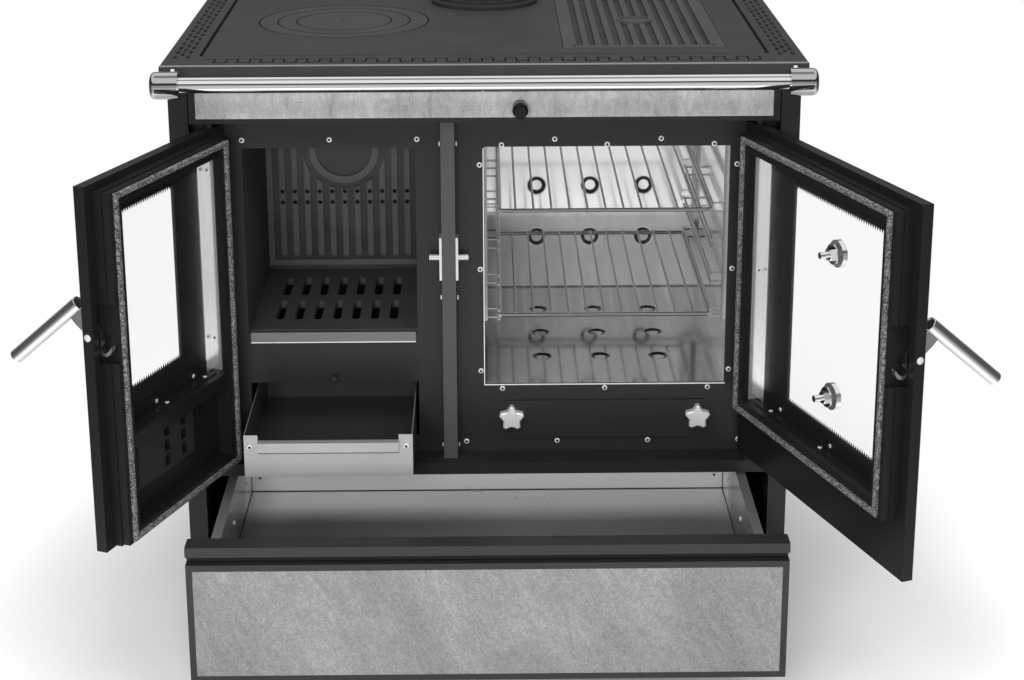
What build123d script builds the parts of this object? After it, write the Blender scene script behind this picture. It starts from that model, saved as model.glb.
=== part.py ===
"""Wood cook stove with a firebox door, an oven door, an ash pan and a wood drawer.

The origin is on the floor, at mid width, in the plane of the body's front.
X runs to the right, Y to the back and Z up. Sizes are in millimetres.
The stove is shown in use: doors open, handles lifted, ash pan and wood drawer pulled out.
"""

from build123d import *
from math import atan2, cos, degrees, radians, sin
import os

# Body
BODY_W = 872.0
BODY_D = 600.0
COOKTOP_Z = 860.0
TOP_T = 18.0
TOP_OVERHANG = 9.0
TOP_LIP = 6.0
TOP_BEVEL = 2.5
SHEET = 2.5
POST_W = 26.5
RECESS = 43.0
FACE_T = 4.0
PLINTH_H = 40.0
PLINTH_SETBACK = 36.0
FLANGE_W = 25.0

# Clearances
SEAT_GAP = 0.3
RUNNING_GAP = 0.05
DOOR_GAP = 6.0
DOOR_SIDE_GAP = 3.5
DOOR_SPLIT = 2.5
DRAWER_GAP = 1.5
SCREW_GAP = 0.3

# Front zones, heights of their edges
LEDGE_Z = 250.0
LEDGE_H = 18.0
LINTEL_Z = 776.0
STONE_H = 42.0
STONE_END = 11.0
STONE_T = 9.0
STONE_SILL = 7.0

# Openings in the face plate
FIREBOX_POST_GAP = 66.5
FIREBOX_BAR_GAP = 36.5
FIREBOX_Z = 453.0
FIREBOX_H = 277.0
ASH_Z = 294.0
ASH_H = 84.0
OVEN_BAR_GAP = 40.9
OVEN_POST_GAP = 63.5
OVEN_Z = 373.0
OVEN_H = 357.0
OVEN_D = 445.0

# Middle bar and latch
BAR_CX = -52.7
BAR_W = 19.6
BAR_PROUD = 26.0
LATCH_PLATE_T = 3.5
LATCH_PLATE_H = 63.0
LATCH_PLATE_W = 22.0
LATCH_PIN_R = 4.5
LATCH_PIN_L = 14.5

# Doors
DOOR_T = 16.0
DOOR_HEEL = 24.0
FIREBOX_DOOR_ANGLE = 112.0
OVEN_DOOR_ANGLE = 110.0
CASING_A_T = 11.0
CASING_B_T = 11.0
CASING_INSET = 20.0
CASING_STEP = 2.0
CASING_HINGE_W = 3.0
CASING_WALL = 24.0
GASKET_W = 8.0
GASKET_MARGIN = 2.0
GASKET_GROOVE = 3.0
CASING_RIM = 11.0
LEVER_NOTCH = 8.5
GLASS_T = 4.0
GLASS_HOLD = 5.0
WINDOW_LIP = 7.0
CLIP_T = 1.5
CLIP_LEG = 19.0
CASING_TOP_DROP = 10.0
FIREBOX_CASING_Z = 276.0
OVEN_CASING_Z = 350.0
FIREBOX_GLASS_Z = 424.0
CROSSBAR_H = 20.0
VENT_POCKET_Z = 294.0
HINGE_PIN_R = 5.0
HINGE_PIN_DEPTH = 16.0
HINGE_WASHER_R = 9.0

# Door handles
HANDLE_Z = 571.0
LEVER_T = 10.0
LEVER_INSET = 14.0
LEVER_SLOT_H = 80.0
PIVOT_R = 4.0
PIVOT_HEAD_R = 5.5
PIVOT_HEAD_T = 2.5
PIVOT_HEAD_PROUD = 0.8
HUB_R = 9.0
HOOK_REACH = 23.3
HOOK_ANGLE = 49.5
HOOK_R = 5.6
HOOK_T = 4.7
HANDLE_LIFT = 49.5
GRIP_ANGLE = 49.5
GRIP_REACH = 44.2
GRIP_R = 9.5
GRIP_L = 134.0
GRIP_ABOVE = 8.9

# Door air vents and register
VENT_W = 16.0
VENT_H = 18.0
VENT_BAR = 3.5
VENT_ROWS = 3
VENT_Z = 334.0
VENT_INSETS = (204.0, 160.0, 76.0)
REGISTER_T = 2.0

# Oven door fittings
FITTING_W = 219.0
THERMOMETER_Z = 645.0
VALVE_Z = 445.0
FITTING_DISC_R = 18.5
FITTING_WASHER_R = 14.0
FITTING_NUT_R = 9.0
FITTING_NUT_T = 6.0
FITTING_STUB_R = 4.5
FITTING_STUB_L = 20.0

# Firebox
PLATE_T = 4.0
FIREBOX_D = 300.0
ASH_BOX_D = 350.0
LINER_T = 22.0
BACK_T = 12.0
RIB_PITCH = 19.6
RIB_W = 9.0
RIB_PROUD = 4.0
RIB_LOW_Z = 475.0
BACK_BORDER = 9.0
ORNAMENT_Z = 649.0
ORNAMENT_R = 54.8
ORNAMENT_IN_R = 43.9
BACK_HOLE_R = 3.4
BACK_HOLES_Z = 563.5
BACK_HOLES_RISE = 17.5
GRATE_T = 12.0
GRATE_SLOT_W = 12.0
GRATE_SLOT_L = 84.0
GRATE_PITCH = 28.0
SILL_H = 16.0
SILL_T = 3.0
SMOKE_Z = 762.0

# Ash pan
PAN_SIDE_GAP = 4.5
PAN_H = 62.0
PAN_D = 300.0
PAN_T = 1.5
PAN_OUT = 147.0
PAN_LIFT = 0.3
PAN_EAR_W = 19.5
GRIP_STRIP_H = 20.0
GRIP_STRIP_DROP = 8.0
GRIP_STRIP_T = 6.0

# Oven
LINER_SHEET = 4.0
DIMPLE_R = 16.0
DIMPLE_FLAT_R = 8.0
DIMPLE_DEEP = 2.4
DIMPLE_PITCH = 88.0
DIMPLE_DEPTHS = (116.0, 223.0, 333.0)
RACK_INSET = 19.0
RACK_FRONT = 18.0
RACK_BACK_GAP = 15.0
RACK_FRAME_R = 3.0
RACK_WIRE_R = 1.7
RACK_WIRES = 11
RACK_LEVELS = 4
RACK_LEVEL_PITCH = 52.7
RACK_LOW_Z = 472.0
GUIDE_R = 2.0
GUIDE_PAIR = 13.0
GUIDE_END = 10.0

# Cleaning cover and star knobs
COVER_INSET = 29.0
COVER_Z = 290.0
COVER_H = 58.0
COVER_T = 3.0
STAR_INSET = 9.2
STAR_Z = 323.5
STAR_R = 18.0
STAR_T = 12.0
STAR_STEM_R = 4.0
STAR_STEM_L = 12.0
STAR_LOBES = 5

# Cooktop
HOB_SIDE = 52.0
HOB_Y = 57.0
HOB_REAR = 40.0
HOB_T = 12.0
HOB_GAP = 3.0
HOB_SIDE_GAP = 5.0
HOB_LEDGE = 9.0
RINGS_INSET = 181.0
RINGS_Y = 308.0
RING_RADII = (126.4, 98.7, 70.6)
RING_GAP = 0.9
RING_LEDGE = 8.0
RING_STEP = 3.0
RING_FLOOR = 2.5
LIFT_SLOT_L = 11.0
LIFT_SLOT_W = 5.0
GRIDDLE_W = 230.0
GRIDDLE_SIDE = 51.0
GRIDDLE_FRONT = 42.0
GRIDDLE_REAR = 60.0
GRIDDLE_RIBS = 11
GRIDDLE_RIB_PITCH = 18.2
GRIDDLE_RIB_W = 9.0
GRIDDLE_RIB_PROUD = 3.0
GRIDDLE_BOSS_R = 27.0
GRIDDLE_BOSS_RIM = 5.0
GRIDDLE_BOSS_PROUD = 1.5
FLUE_REAR = 135.0
FLUE_R = 75.0
FLUE_WALL = 4.0
FLUE_H = 45.0
FLUE_BASE_R = 84.0
FLUE_BASE_T = 7.0
FLUE_NECK_R = 79.0
FLUE_NECK_T = 14.0
SIDE_SLOT_L = 20.0
SIDE_SLOT_W = 5.4
SIDE_SLOT_PITCH = 31.0
SIDE_SLOT_INSETS = (33.0, 24.0, 15.0)
SIDE_SLOT_DEEP = 8.0

# Damper
DAMPER_X = 48.7
DAMPER_Z = 797.0
DAMPER_ROD_R = 4.0
DAMPER_KNOB_R = 11.0
DAMPER_KNOB_L = 24.0

# Towel rail
RAIL_R = 11.0
RAIL_Z = 842.0
RAIL_OUT = 50.0
RAIL_END_R = 18.75
RAIL_END_L = 38.0
RAIL_PAST_BODY = 14.0
RAIL_STEM_R = 10.0

# Wood drawer
DRAWER_BOTTOM = 46.0
DRAWER_TOP_GAP = 3.0
DRAWER_T = 30.0
DRAWER_OUT = 232.0
DRAWER_BAR_H = 14.0
DRAWER_GROOVE_H = 12.0
DRAWER_GROOVE_D = 15.0
DRAWER_FRAME = 9.0
DRAWER_STONE_T = 8.0
DRAWER_SIDE = 46.5
DRAWER_FLOOR_Z = 153.0
DRAWER_RIM_GAP = 2.0
DRAWER_L = 362.0
DRAWER_SHEET = 1.5
DRAWER_FLANGE = 12.0
DRAWER_FLANGE_T = 5.0
RUNNER_T = 1.5
RUNNER_L = 520.0

# Worked out from the sizes above
HALF_W = BODY_W / 2
INNER_HALF = HALF_W - SHEET
POST_IN = HALF_W - POST_W
TOP_UNDER = COOKTOP_Z - TOP_T
FACE_BACK = RECESS + FACE_T
LEDGE_TOP = LEDGE_Z + LEDGE_H
DOOR_Z = (LEDGE_TOP + DOOR_GAP, LINTEL_Z - DOOR_GAP)
DOOR_EDGE_X = POST_IN - DOOR_SIDE_GAP
HINGE_X = DOOR_EDGE_X - DOOR_HEEL
HINGE_Y = DOOR_T / 2
CASING_BACK = DOOR_T + CASING_A_T + CASING_B_T
GLASS_BACK = WINDOW_LIP + GLASS_T
BAR_X = (BAR_CX - BAR_W / 2, BAR_CX + BAR_W / 2)
FIREBOX_X = (-POST_IN + FIREBOX_POST_GAP, BAR_X[0] - FIREBOX_BAR_GAP)
FIREBOX_W = FIREBOX_X[1] - FIREBOX_X[0]
FIREBOX_CX = (FIREBOX_X[0] + FIREBOX_X[1]) / 2
OVEN_X = (BAR_X[1] + OVEN_BAR_GAP, POST_IN - OVEN_POST_GAP)
OVEN_W = OVEN_X[1] - OVEN_X[0]
OVEN_CX = (OVEN_X[0] + OVEN_X[1]) / 2
RACK_D = OVEN_D - RACK_FRONT - RACK_BACK_GAP
TOP_HALF = HALF_W + TOP_OVERHANG
HOB_HALF_W = TOP_HALF - HOB_SIDE
HOB_D = BODY_D - HOB_Y - HOB_REAR
RINGS_X = -HOB_HALF_W + RINGS_INSET
GRIDDLE_X = HOB_HALF_W - GRIDDLE_SIDE - GRIDDLE_W
GRIDDLE_Y = HOB_Y + GRIDDLE_FRONT
GRIDDLE_D = HOB_D - GRIDDLE_FRONT - GRIDDLE_REAR
FLUE_Y = BODY_D - FLUE_REAR
RAIL_HALF = HALF_W + RAIL_PAST_BODY
DRAWER_HALF_W = POST_IN - DRAWER_SIDE
STONE_W = 2 * (POST_IN - STONE_END)
FIREBOX_TOP = FIREBOX_Z + FIREBOX_H
OVEN_TOP = OVEN_Z + OVEN_H
HOOK_DY = HOOK_REACH * cos(radians(HANDLE_LIFT - HOOK_ANGLE))
HOOK_DZ = HOOK_REACH * sin(radians(HANDLE_LIFT - HOOK_ANGLE))


def middle(span):
    return (span[0] + span[1]) / 2


def block(xs, ys, zs, mode=Mode.ADD):
    """Adds or cuts a plain block between three pairs of coordinates."""
    with BuildSketch(Plane.XY.offset(zs[0])) as outline:
        with Locations((middle(xs), middle(ys))):
            Rectangle(xs[1] - xs[0], ys[1] - ys[0])
    extrude(outline.sketch, amount=zs[1] - zs[0], mode=mode)


def front_plane(y):
    """Upright plane at depth y that looks out of the front, with Z as its local y."""
    return Plane.XZ.offset(-y)


def disc(plane, place, radius, length, mode=Mode.ADD):
    """Adds or cuts a cylinder that starts on a plane and follows its normal."""
    with BuildSketch(plane) as outline:
        with Locations(place):
            Circle(radius)
    extrude(outline.sketch, amount=length, mode=mode)


class Door:
    """Planes of one hinged door. w runs from the hinge axis towards the free edge."""

    def __init__(self, side, free_x, angle):
        turn = radians(angle)
        self.side = side
        self.axis = Vector(-side * HINGE_X, HINGE_Y, 0)
        self.width = abs(free_x + side * HINGE_X)
        self.along = Vector(side * cos(turn), -sin(turn), 0)
        self.outward = Vector(-side * sin(turn), -cos(turn), 0)

    def face(self, depth):
        """Plane parallel to the door, this far behind its outer face."""
        origin = self.axis + self.outward * (HINGE_Y - depth)
        return Plane(origin, x_dir=Vector(0, 0, 1).cross(self.outward), z_dir=self.outward)

    def edge(self, w):
        """Plane square to the door's width, centred on the handle's pivot axis."""
        origin = self.axis + self.along * w + Vector(0, 0, HANDLE_Z)
        return Plane(origin, x_dir=self.outward, z_dir=self.outward.cross(Vector(0, 0, 1)))

    def toward_free_edge(self, length):
        return -self.side * length

    def slab(self, ws, zs, depths, mode=Mode.ADD, corner=0.0):
        """Adds or cuts a rectangle of the door between two depths."""
        with BuildSketch(self.face(depths[1])) as outline:
            with Locations((self.side * middle(ws), middle(zs))):
                if corner:
                    RectangleRounded(ws[1] - ws[0], zs[1] - zs[0], corner)
                else:
                    Rectangle(ws[1] - ws[0], zs[1] - zs[0])
        extrude(outline.sketch, amount=depths[1] - depths[0], mode=mode)

    def hinge_hole(self, plane, length):
        disc(plane, (self.axis.X, self.axis.Y), HINGE_PIN_R + RUNNING_GAP, length, Mode.SUBTRACT)


firebox_door = Door(1, BAR_CX - DOOR_SPLIT / 2, FIREBOX_DOOR_ANGLE)
oven_door = Door(-1, BAR_CX + DOOR_SPLIT / 2, OVEN_DOOR_ANGLE)

# Side panels, each folded into the front post
side_panels = []
for side in (-1, 1):
    with BuildPart() as side_panel:
        post = sorted((side * POST_IN, side * HALF_W))
        skin = sorted((side * INNER_HALF, side * HALF_W))
        inner_fold = sorted((side * POST_IN, side * (POST_IN + SHEET)))
        rear_fold = sorted((side * (HALF_W - FLANGE_W), side * HALF_W))
        block(skin, (0, BODY_D), (PLINTH_H, TOP_UNDER))
        block(post, (0, SHEET), (PLINTH_H, TOP_UNDER))
        block(inner_fold, (0, RECESS), (PLINTH_H + SHEET, TOP_UNDER))
        block(rear_fold, (BODY_D - 2 * SHEET, BODY_D - SHEET), (PLINTH_H, TOP_UNDER))
    side_panels.append(side_panel)
side_panel_left, side_panel_right = side_panels

# Back panel with two rows of vent slots
with BuildPart() as back_panel:
    block((-INNER_HALF, INNER_HALF), (BODY_D - SHEET, BODY_D), (PLINTH_H, TOP_UNDER))
    with BuildSketch(Plane.XZ.offset(-BODY_D)) as vents:
        for height in (LEDGE_Z, OVEN_TOP):
            with Locations((0, height)):
                with GridLocations(60, 1, 9, 1):
                    SlotOverall(40, 6)
    extrude(vents.sketch, amount=SHEET, mode=Mode.SUBTRACT)

# Base tray on its plinth
with BuildPart() as base_tray:
    block((-INNER_HALF, INNER_HALF), (SHEET, BODY_D - 2 * SHEET), (PLINTH_H, PLINTH_H + SHEET))
PLINTH_X = HALF_W - PLINTH_SETBACK
PLINTH_Y = (PLINTH_SETBACK, BODY_D - PLINTH_SETBACK)
with BuildPart() as plinth:
    block((-PLINTH_X, PLINTH_X), PLINTH_Y, (0, PLINTH_H))
    block(
        (-PLINTH_X + SHEET, PLINTH_X - SHEET),
        (PLINTH_Y[0] + SHEET, PLINTH_Y[1] - SHEET),
        (SHEET, PLINTH_H),
        Mode.SUBTRACT,
    )
    block(
        (-PLINTH_X + FLANGE_W, PLINTH_X - FLANGE_W),
        (PLINTH_Y[0] + FLANGE_W, PLINTH_Y[1] - FLANGE_W),
        (0, SHEET),
        Mode.SUBTRACT,
    )

# Bottom ledge under the doors, folded back into the floor of the hearth body
with BuildPart() as bottom_ledge:
    block((-POST_IN, POST_IN), (0, RECESS), (LEDGE_Z, LEDGE_TOP))
    block((-INNER_HALF, INNER_HALF), (RECESS, BODY_D - 2 * SHEET), (LEDGE_Z, LEDGE_Z + SHEET))

# Face plate behind the doors
COVER_X = (OVEN_X[0] + COVER_INSET, OVEN_X[1] - COVER_INSET)
STAR_X = (COVER_X[0] + STAR_INSET, COVER_X[1] - STAR_INSET)
COVER_HOLE = 12.0
with BuildPart() as face_plate:
    block((-INNER_HALF, INNER_HALF), (RECESS, FACE_BACK), (LEDGE_Z + SHEET, TOP_UNDER))
    through = (RECESS, FACE_BACK)
    block(FIREBOX_X, through, (FIREBOX_Z, FIREBOX_TOP), Mode.SUBTRACT)
    block(FIREBOX_X, through, (ASH_Z, ASH_Z + ASH_H), Mode.SUBTRACT)
    block(OVEN_X, through, (OVEN_Z, OVEN_TOP), Mode.SUBTRACT)
    block(
        (COVER_X[0] + COVER_HOLE, COVER_X[1] - COVER_HOLE),
        through,
        (COVER_Z + COVER_HOLE, COVER_Z + COVER_H - COVER_HOLE),
        Mode.SUBTRACT,
    )
    disc(front_plane(FACE_BACK), (DAMPER_X, DAMPER_Z), DAMPER_ROD_R + RUNNING_GAP, FACE_T,
         Mode.SUBTRACT)

# Lintel that frames the stone strip
STONE_Z = (LINTEL_Z + STONE_SILL, LINTEL_Z + STONE_SILL + STONE_H)
with BuildPart() as lintel:
    block((-POST_IN + DRAWER_GAP, POST_IN - DRAWER_GAP), (0, RECESS), (LINTEL_Z, TOP_UNDER))
    block((-STONE_W / 2, STONE_W / 2), (0, STONE_T), STONE_Z, Mode.SUBTRACT)
    disc(front_plane(RECESS), (DAMPER_X, DAMPER_Z), DAMPER_ROD_R + RUNNING_GAP, RECESS,
         Mode.SUBTRACT)
with BuildPart() as stone_strip:
    block((-STONE_W / 2, STONE_W / 2), (0, STONE_T), STONE_Z)
    disc(front_plane(STONE_T), (DAMPER_X, DAMPER_Z), DAMPER_ROD_R + RUNNING_GAP, STONE_T,
         Mode.SUBTRACT)

# Middle bar between the doors, its latch plates and striker pins
with BuildPart() as middle_bar:
    block(BAR_X, (RECESS - BAR_PROUD, RECESS), (LEDGE_TOP, LINTEL_Z))
LATCH_Y = HINGE_Y + HOOK_DY
LATCH_Z = HANDLE_Z + HOOK_DZ
with BuildPart() as latch_strikers:
    for side, edge_x in ((-1, BAR_X[0]), (1, BAR_X[1])):
        plate = sorted((edge_x, edge_x + side * LATCH_PLATE_T))
        block(
            plate,
            (RECESS - LATCH_PLATE_W, RECESS),
            (LATCH_Z - LATCH_PLATE_H / 2, LATCH_Z + LATCH_PLATE_H / 2),
        )
        start = Plane.YZ.offset(edge_x)
        disc(start, (LATCH_Y, LATCH_Z), LATCH_PIN_R, side * (LATCH_PLATE_T + LATCH_PIN_L))

# Hinge pins, with a washer under each door
with BuildPart() as hinge_pins:
    for side in (-1, 1):
        place = (side * HINGE_X, HINGE_Y)
        disc(Plane.XY.offset(LEDGE_TOP), place, HINGE_WASHER_R, DOOR_GAP - SEAT_GAP)
        disc(Plane.XY.offset(LEDGE_TOP), place, HINGE_PIN_R, DOOR_GAP + HINGE_PIN_DEPTH)
        disc(Plane.XY.offset(LINTEL_Z), place, HINGE_PIN_R, -DOOR_GAP - HINGE_PIN_DEPTH)

# Towel rail and its end brackets
with BuildPart() as towel_rail:
    disc(
        Plane.YZ.offset(-RAIL_HALF + RAIL_END_L),
        (-RAIL_OUT, RAIL_Z),
        RAIL_R,
        2 * (RAIL_HALF - RAIL_END_L),
    )
with BuildPart() as rail_brackets:
    for side in (-1, 1):
        disc(Plane.YZ.offset(side * (RAIL_HALF - RAIL_END_L)), (-RAIL_OUT, RAIL_Z), RAIL_END_R,
             side * RAIL_END_L)
    rims = rail_brackets.edges().filter_by(GeomType.CIRCLE).sort_by(Axis.X)
    fillet((rims[0], rims[-1]), RAIL_END_R * 0.4)
    for side in (-1, 1):
        disc(front_plane(0), (side * (HALF_W - POST_W / 2), RAIL_Z - RAIL_STEM_R - 1), RAIL_STEM_R,
             RAIL_OUT - RAIL_STEM_R)

# Cooktop frame around the hob plate
HOB_YS = (HOB_Y, HOB_Y + HOB_D)
with BuildPart() as top_frame:
    block((-TOP_HALF, TOP_HALF), (-TOP_LIP, BODY_D + TOP_LIP), (TOP_UNDER, COOKTOP_Z))
    outer = top_frame.faces().sort_by(Axis.Z)[-1].edges()
    chamfer(outer, TOP_BEVEL)
    block(
        (-HOB_HALF_W - HOB_SIDE_GAP, HOB_HALF_W + HOB_SIDE_GAP),
        (HOB_YS[0] - HOB_GAP, HOB_YS[1] + HOB_GAP),
        (COOKTOP_Z - HOB_T, COOKTOP_Z),
        Mode.SUBTRACT,
    )
    block(
        (-HOB_HALF_W + HOB_LEDGE, HOB_HALF_W - HOB_LEDGE),
        (HOB_YS[0] + HOB_LEDGE, HOB_YS[1] - HOB_LEDGE),
        (TOP_UNDER, COOKTOP_Z - HOB_T),
        Mode.SUBTRACT,
    )
    slot_rows = int((BODY_D - 2 * SIDE_SLOT_PITCH) / SIDE_SLOT_PITCH)
    with BuildSketch(Plane.XY.offset(COOKTOP_Z)) as slots:
        for column, inset in enumerate(SIDE_SLOT_INSETS):
            shift = SIDE_SLOT_PITCH / 2 if column % 2 else 0
            for side in (-1, 1):
                with Locations((side * (TOP_HALF - inset), BODY_D / 2 + shift)):
                    with GridLocations(1, SIDE_SLOT_PITCH, 1, slot_rows):
                        Rectangle(SIDE_SLOT_W, SIDE_SLOT_L)
    extrude(slots.sketch, amount=-SIDE_SLOT_DEEP, mode=Mode.SUBTRACT)

# Hob plate with seats for the rings, the griddle and the flue
GRIDDLE_XS = (GRIDDLE_X, GRIDDLE_X + GRIDDLE_W)
GRIDDLE_YS = (GRIDDLE_Y, GRIDDLE_Y + GRIDDLE_D)
SEAT_Z = COOKTOP_Z - HOB_T + RING_FLOOR
with BuildPart() as hob_plate:
    block((-HOB_HALF_W, HOB_HALF_W), HOB_YS, (COOKTOP_Z - HOB_T, COOKTOP_Z))
    disc(Plane.XY.offset(SEAT_Z), (RINGS_X, RINGS_Y), RING_RADII[0] + RING_GAP, HOB_T, Mode.SUBTRACT)
    disc(Plane.XY.offset(TOP_UNDER), (RINGS_X, RINGS_Y), RING_RADII[0] - RING_LEDGE, TOP_T,
         Mode.SUBTRACT)
    block(
        (GRIDDLE_XS[0] - RING_GAP, GRIDDLE_XS[1] + RING_GAP),
        (GRIDDLE_YS[0] - RING_GAP, GRIDDLE_YS[1] + RING_GAP),
        (SEAT_Z, COOKTOP_Z),
        Mode.SUBTRACT,
    )
    block(
        (GRIDDLE_XS[0] + RING_LEDGE, GRIDDLE_XS[1] - RING_LEDGE),
        (GRIDDLE_YS[0] + RING_LEDGE, GRIDDLE_YS[1] - RING_LEDGE),
        (TOP_UNDER, COOKTOP_Z),
        Mode.SUBTRACT,
    )
    disc(Plane.XY.offset(TOP_UNDER), (0, FLUE_Y), FLUE_R - FLUE_WALL, TOP_T, Mode.SUBTRACT)

# Cooking rings, each seated in the next one out
ring_parts = []
for index, radius in enumerate(RING_RADII):
    seat = SEAT_Z + SEAT_GAP + index * RING_STEP
    with BuildPart() as ring:
        disc(Plane.XY.offset(seat), (RINGS_X, RINGS_Y), radius, COOKTOP_Z - seat)
        if index + 1 < len(RING_RADII):
            hole = RING_RADII[index + 1]
            disc(Plane.XY.offset(seat), (RINGS_X, RINGS_Y), hole - RING_LEDGE, HOB_T, Mode.SUBTRACT)
            disc(Plane.XY.offset(seat + RING_STEP - SEAT_GAP), (RINGS_X, RINGS_Y), hole + RING_GAP,
                 HOB_T, Mode.SUBTRACT)
        else:
            block(
                (RINGS_X - LIFT_SLOT_L / 2, RINGS_X + LIFT_SLOT_L / 2),
                (RINGS_Y - LIFT_SLOT_W / 2, RINGS_Y + LIFT_SLOT_W / 2),
                (seat, COOKTOP_Z),
                Mode.SUBTRACT,
            )
    ring_parts.append(ring)
ring_outer, ring_inner, ring_cap = ring_parts

# Griddle insert with raised ribs
with BuildPart() as griddle_plate:
    block(GRIDDLE_XS, GRIDDLE_YS, (SEAT_Z + SEAT_GAP, COOKTOP_Z))
    with BuildSketch(Plane.XY.offset(COOKTOP_Z)) as grooves:
        with Locations((middle(GRIDDLE_XS), middle(GRIDDLE_YS))):
            with GridLocations(GRIDDLE_RIB_PITCH, 1, GRIDDLE_RIBS, 1):
                SlotOverall(GRIDDLE_D - 30, GRIDDLE_RIB_PITCH - GRIDDLE_RIB_W, rotation=90)
    extrude(grooves.sketch, amount=-GRIDDLE_RIB_PROUD, mode=Mode.SUBTRACT)
    griddle_centre = (middle(GRIDDLE_XS), middle(GRIDDLE_YS))
    boss_plane = Plane.XY.offset(COOKTOP_Z - GRIDDLE_RIB_PROUD)
    disc(boss_plane, griddle_centre, GRIDDLE_BOSS_R, GRIDDLE_RIB_PROUD + GRIDDLE_BOSS_PROUD)
    disc(Plane.XY.offset(COOKTOP_Z), griddle_centre, GRIDDLE_BOSS_R - GRIDDLE_BOSS_RIM,
         GRIDDLE_BOSS_PROUD, Mode.SUBTRACT)

# Flue collar on the hob plate
with BuildPart() as flue_collar:
    disc(Plane.XY.offset(COOKTOP_Z), (0, FLUE_Y), FLUE_BASE_R, FLUE_BASE_T)
    disc(Plane.XY.offset(COOKTOP_Z), (0, FLUE_Y), FLUE_NECK_R, FLUE_NECK_T)
    steps = flue_collar.edges().filter_by(GeomType.CIRCLE)
    fillet([edge for edge in steps if edge.center().Z > COOKTOP_Z + 1 and edge.radius > FLUE_R], 2)
    disc(Plane.XY.offset(COOKTOP_Z), (0, FLUE_Y), FLUE_R, FLUE_H)
    disc(Plane.XY.offset(COOKTOP_Z), (0, FLUE_Y), FLUE_R - FLUE_WALL, FLUE_H, Mode.SUBTRACT)

# Firebox casing: open to the front, to the ash box below and to the smoke chamber above
HEARTH_X = (FIREBOX_X[0] - LINER_T, FIREBOX_X[1] + LINER_T)
HEARTH_Z = FIREBOX_Z - GRATE_T
HEARTH_BACK = FACE_BACK + FIREBOX_D + RIB_PROUD + BACK_T
GRATE_LEDGE = 16.0
with BuildPart() as firebox_casing:
    block(
        (HEARTH_X[0] - PLATE_T, HEARTH_X[1] + PLATE_T),
        (FACE_BACK, HEARTH_BACK + PLATE_T),
        (HEARTH_Z - PLATE_T, SMOKE_Z),
    )
    block(HEARTH_X, (FACE_BACK, HEARTH_BACK), (HEARTH_Z, SMOKE_Z), Mode.SUBTRACT)
    block(
        (FIREBOX_X[0] + GRATE_LEDGE, FIREBOX_X[1] - GRATE_LEDGE),
        (FACE_BACK + 2 * GRATE_LEDGE, FACE_BACK + FIREBOX_D - GRATE_LEDGE),
        (HEARTH_Z - PLATE_T, HEARTH_Z),
        Mode.SUBTRACT,
    )

# Cast liners on the firebox walls and the ribbed back casting
with BuildPart() as firebox_liners:
    for wall in ((HEARTH_X[0], FIREBOX_X[0]), (FIREBOX_X[1], HEARTH_X[1])):
        block(wall, (FACE_BACK, FACE_BACK + FIREBOX_D), (HEARTH_Z, SMOKE_Z))
RIB_COUNT = int((FIREBOX_W - 2 * RIB_W) / RIB_PITCH)
with BuildPart() as back_casting:
    block(HEARTH_X, (HEARTH_BACK - BACK_T, HEARTH_BACK), (HEARTH_Z, SMOKE_Z))
    with BuildSketch(front_plane(HEARTH_BACK - BACK_T)) as relief:
        with Locations((FIREBOX_CX, middle((RIB_LOW_Z, FIREBOX_TOP)))):
            with GridLocations(RIB_PITCH, 1, RIB_COUNT, 1):
                SlotOverall(FIREBOX_TOP - RIB_LOW_Z, RIB_W, rotation=90)
        with Locations((FIREBOX_CX, RIB_LOW_Z - 1.2 * BACK_BORDER)):
            Rectangle(FIREBOX_W, BACK_BORDER)
        for x in (FIREBOX_X[0] + BACK_BORDER / 2, FIREBOX_X[1] - BACK_BORDER / 2):
            with Locations((x, middle((RIB_LOW_Z, FIREBOX_TOP)))):
                Rectangle(BACK_BORDER, FIREBOX_TOP - RIB_LOW_Z + 2 * BACK_BORDER)
        with Locations((FIREBOX_CX, ORNAMENT_Z)):
            Circle(ORNAMENT_R + RIB_W, mode=Mode.SUBTRACT)
            Circle(ORNAMENT_R)
            Circle(ORNAMENT_IN_R, mode=Mode.SUBTRACT)
    extrude(relief.sketch, amount=RIB_PROUD)
    with BuildSketch(front_plane(HEARTH_BACK)) as holes:
        with Locations((FIREBOX_CX, BACK_HOLES_Z + BACK_HOLES_RISE / 2)):
            with GridLocations(RIB_PITCH, BACK_HOLES_RISE, RIB_COUNT, 2):
                Circle(BACK_HOLE_R)
    extrude(holes.sketch, amount=BACK_T + RIB_PROUD, mode=Mode.SUBTRACT)

# Grate that lifts out, with two rows of slots
GRATE_X = (FIREBOX_X[0] + SEAT_GAP, FIREBOX_X[1] - SEAT_GAP)
GRATE_Y = (FACE_BACK + GRATE_LEDGE, FACE_BACK + FIREBOX_D - SEAT_GAP)
GRATE_COLUMNS = int((FIREBOX_W - GRATE_PITCH) / GRATE_PITCH)
with BuildPart() as fire_grate:
    block(GRATE_X, GRATE_Y, (HEARTH_Z + SEAT_GAP, FIREBOX_Z - SEAT_GAP))
    with BuildSketch(Plane.XY.offset(HEARTH_Z)) as slots:
        with Locations((middle(GRATE_X), middle(GRATE_Y))):
            with GridLocations(GRATE_PITCH, GRATE_SLOT_L + GRATE_PITCH, GRATE_COLUMNS, 2):
                SlotOverall(GRATE_SLOT_L, GRATE_SLOT_W, rotation=90)
    extrude(slots.sketch, amount=GRATE_T, mode=Mode.SUBTRACT)

# Bright sill strip in front of the grate
with BuildPart() as sill_strip:
    block(
        (FIREBOX_X[0] + SILL_T, FIREBOX_X[1] - SILL_T),
        (RECESS - SILL_T, RECESS),
        (FIREBOX_Z - SILL_H + SILL_T, FIREBOX_Z + SILL_T),
    )

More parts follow.
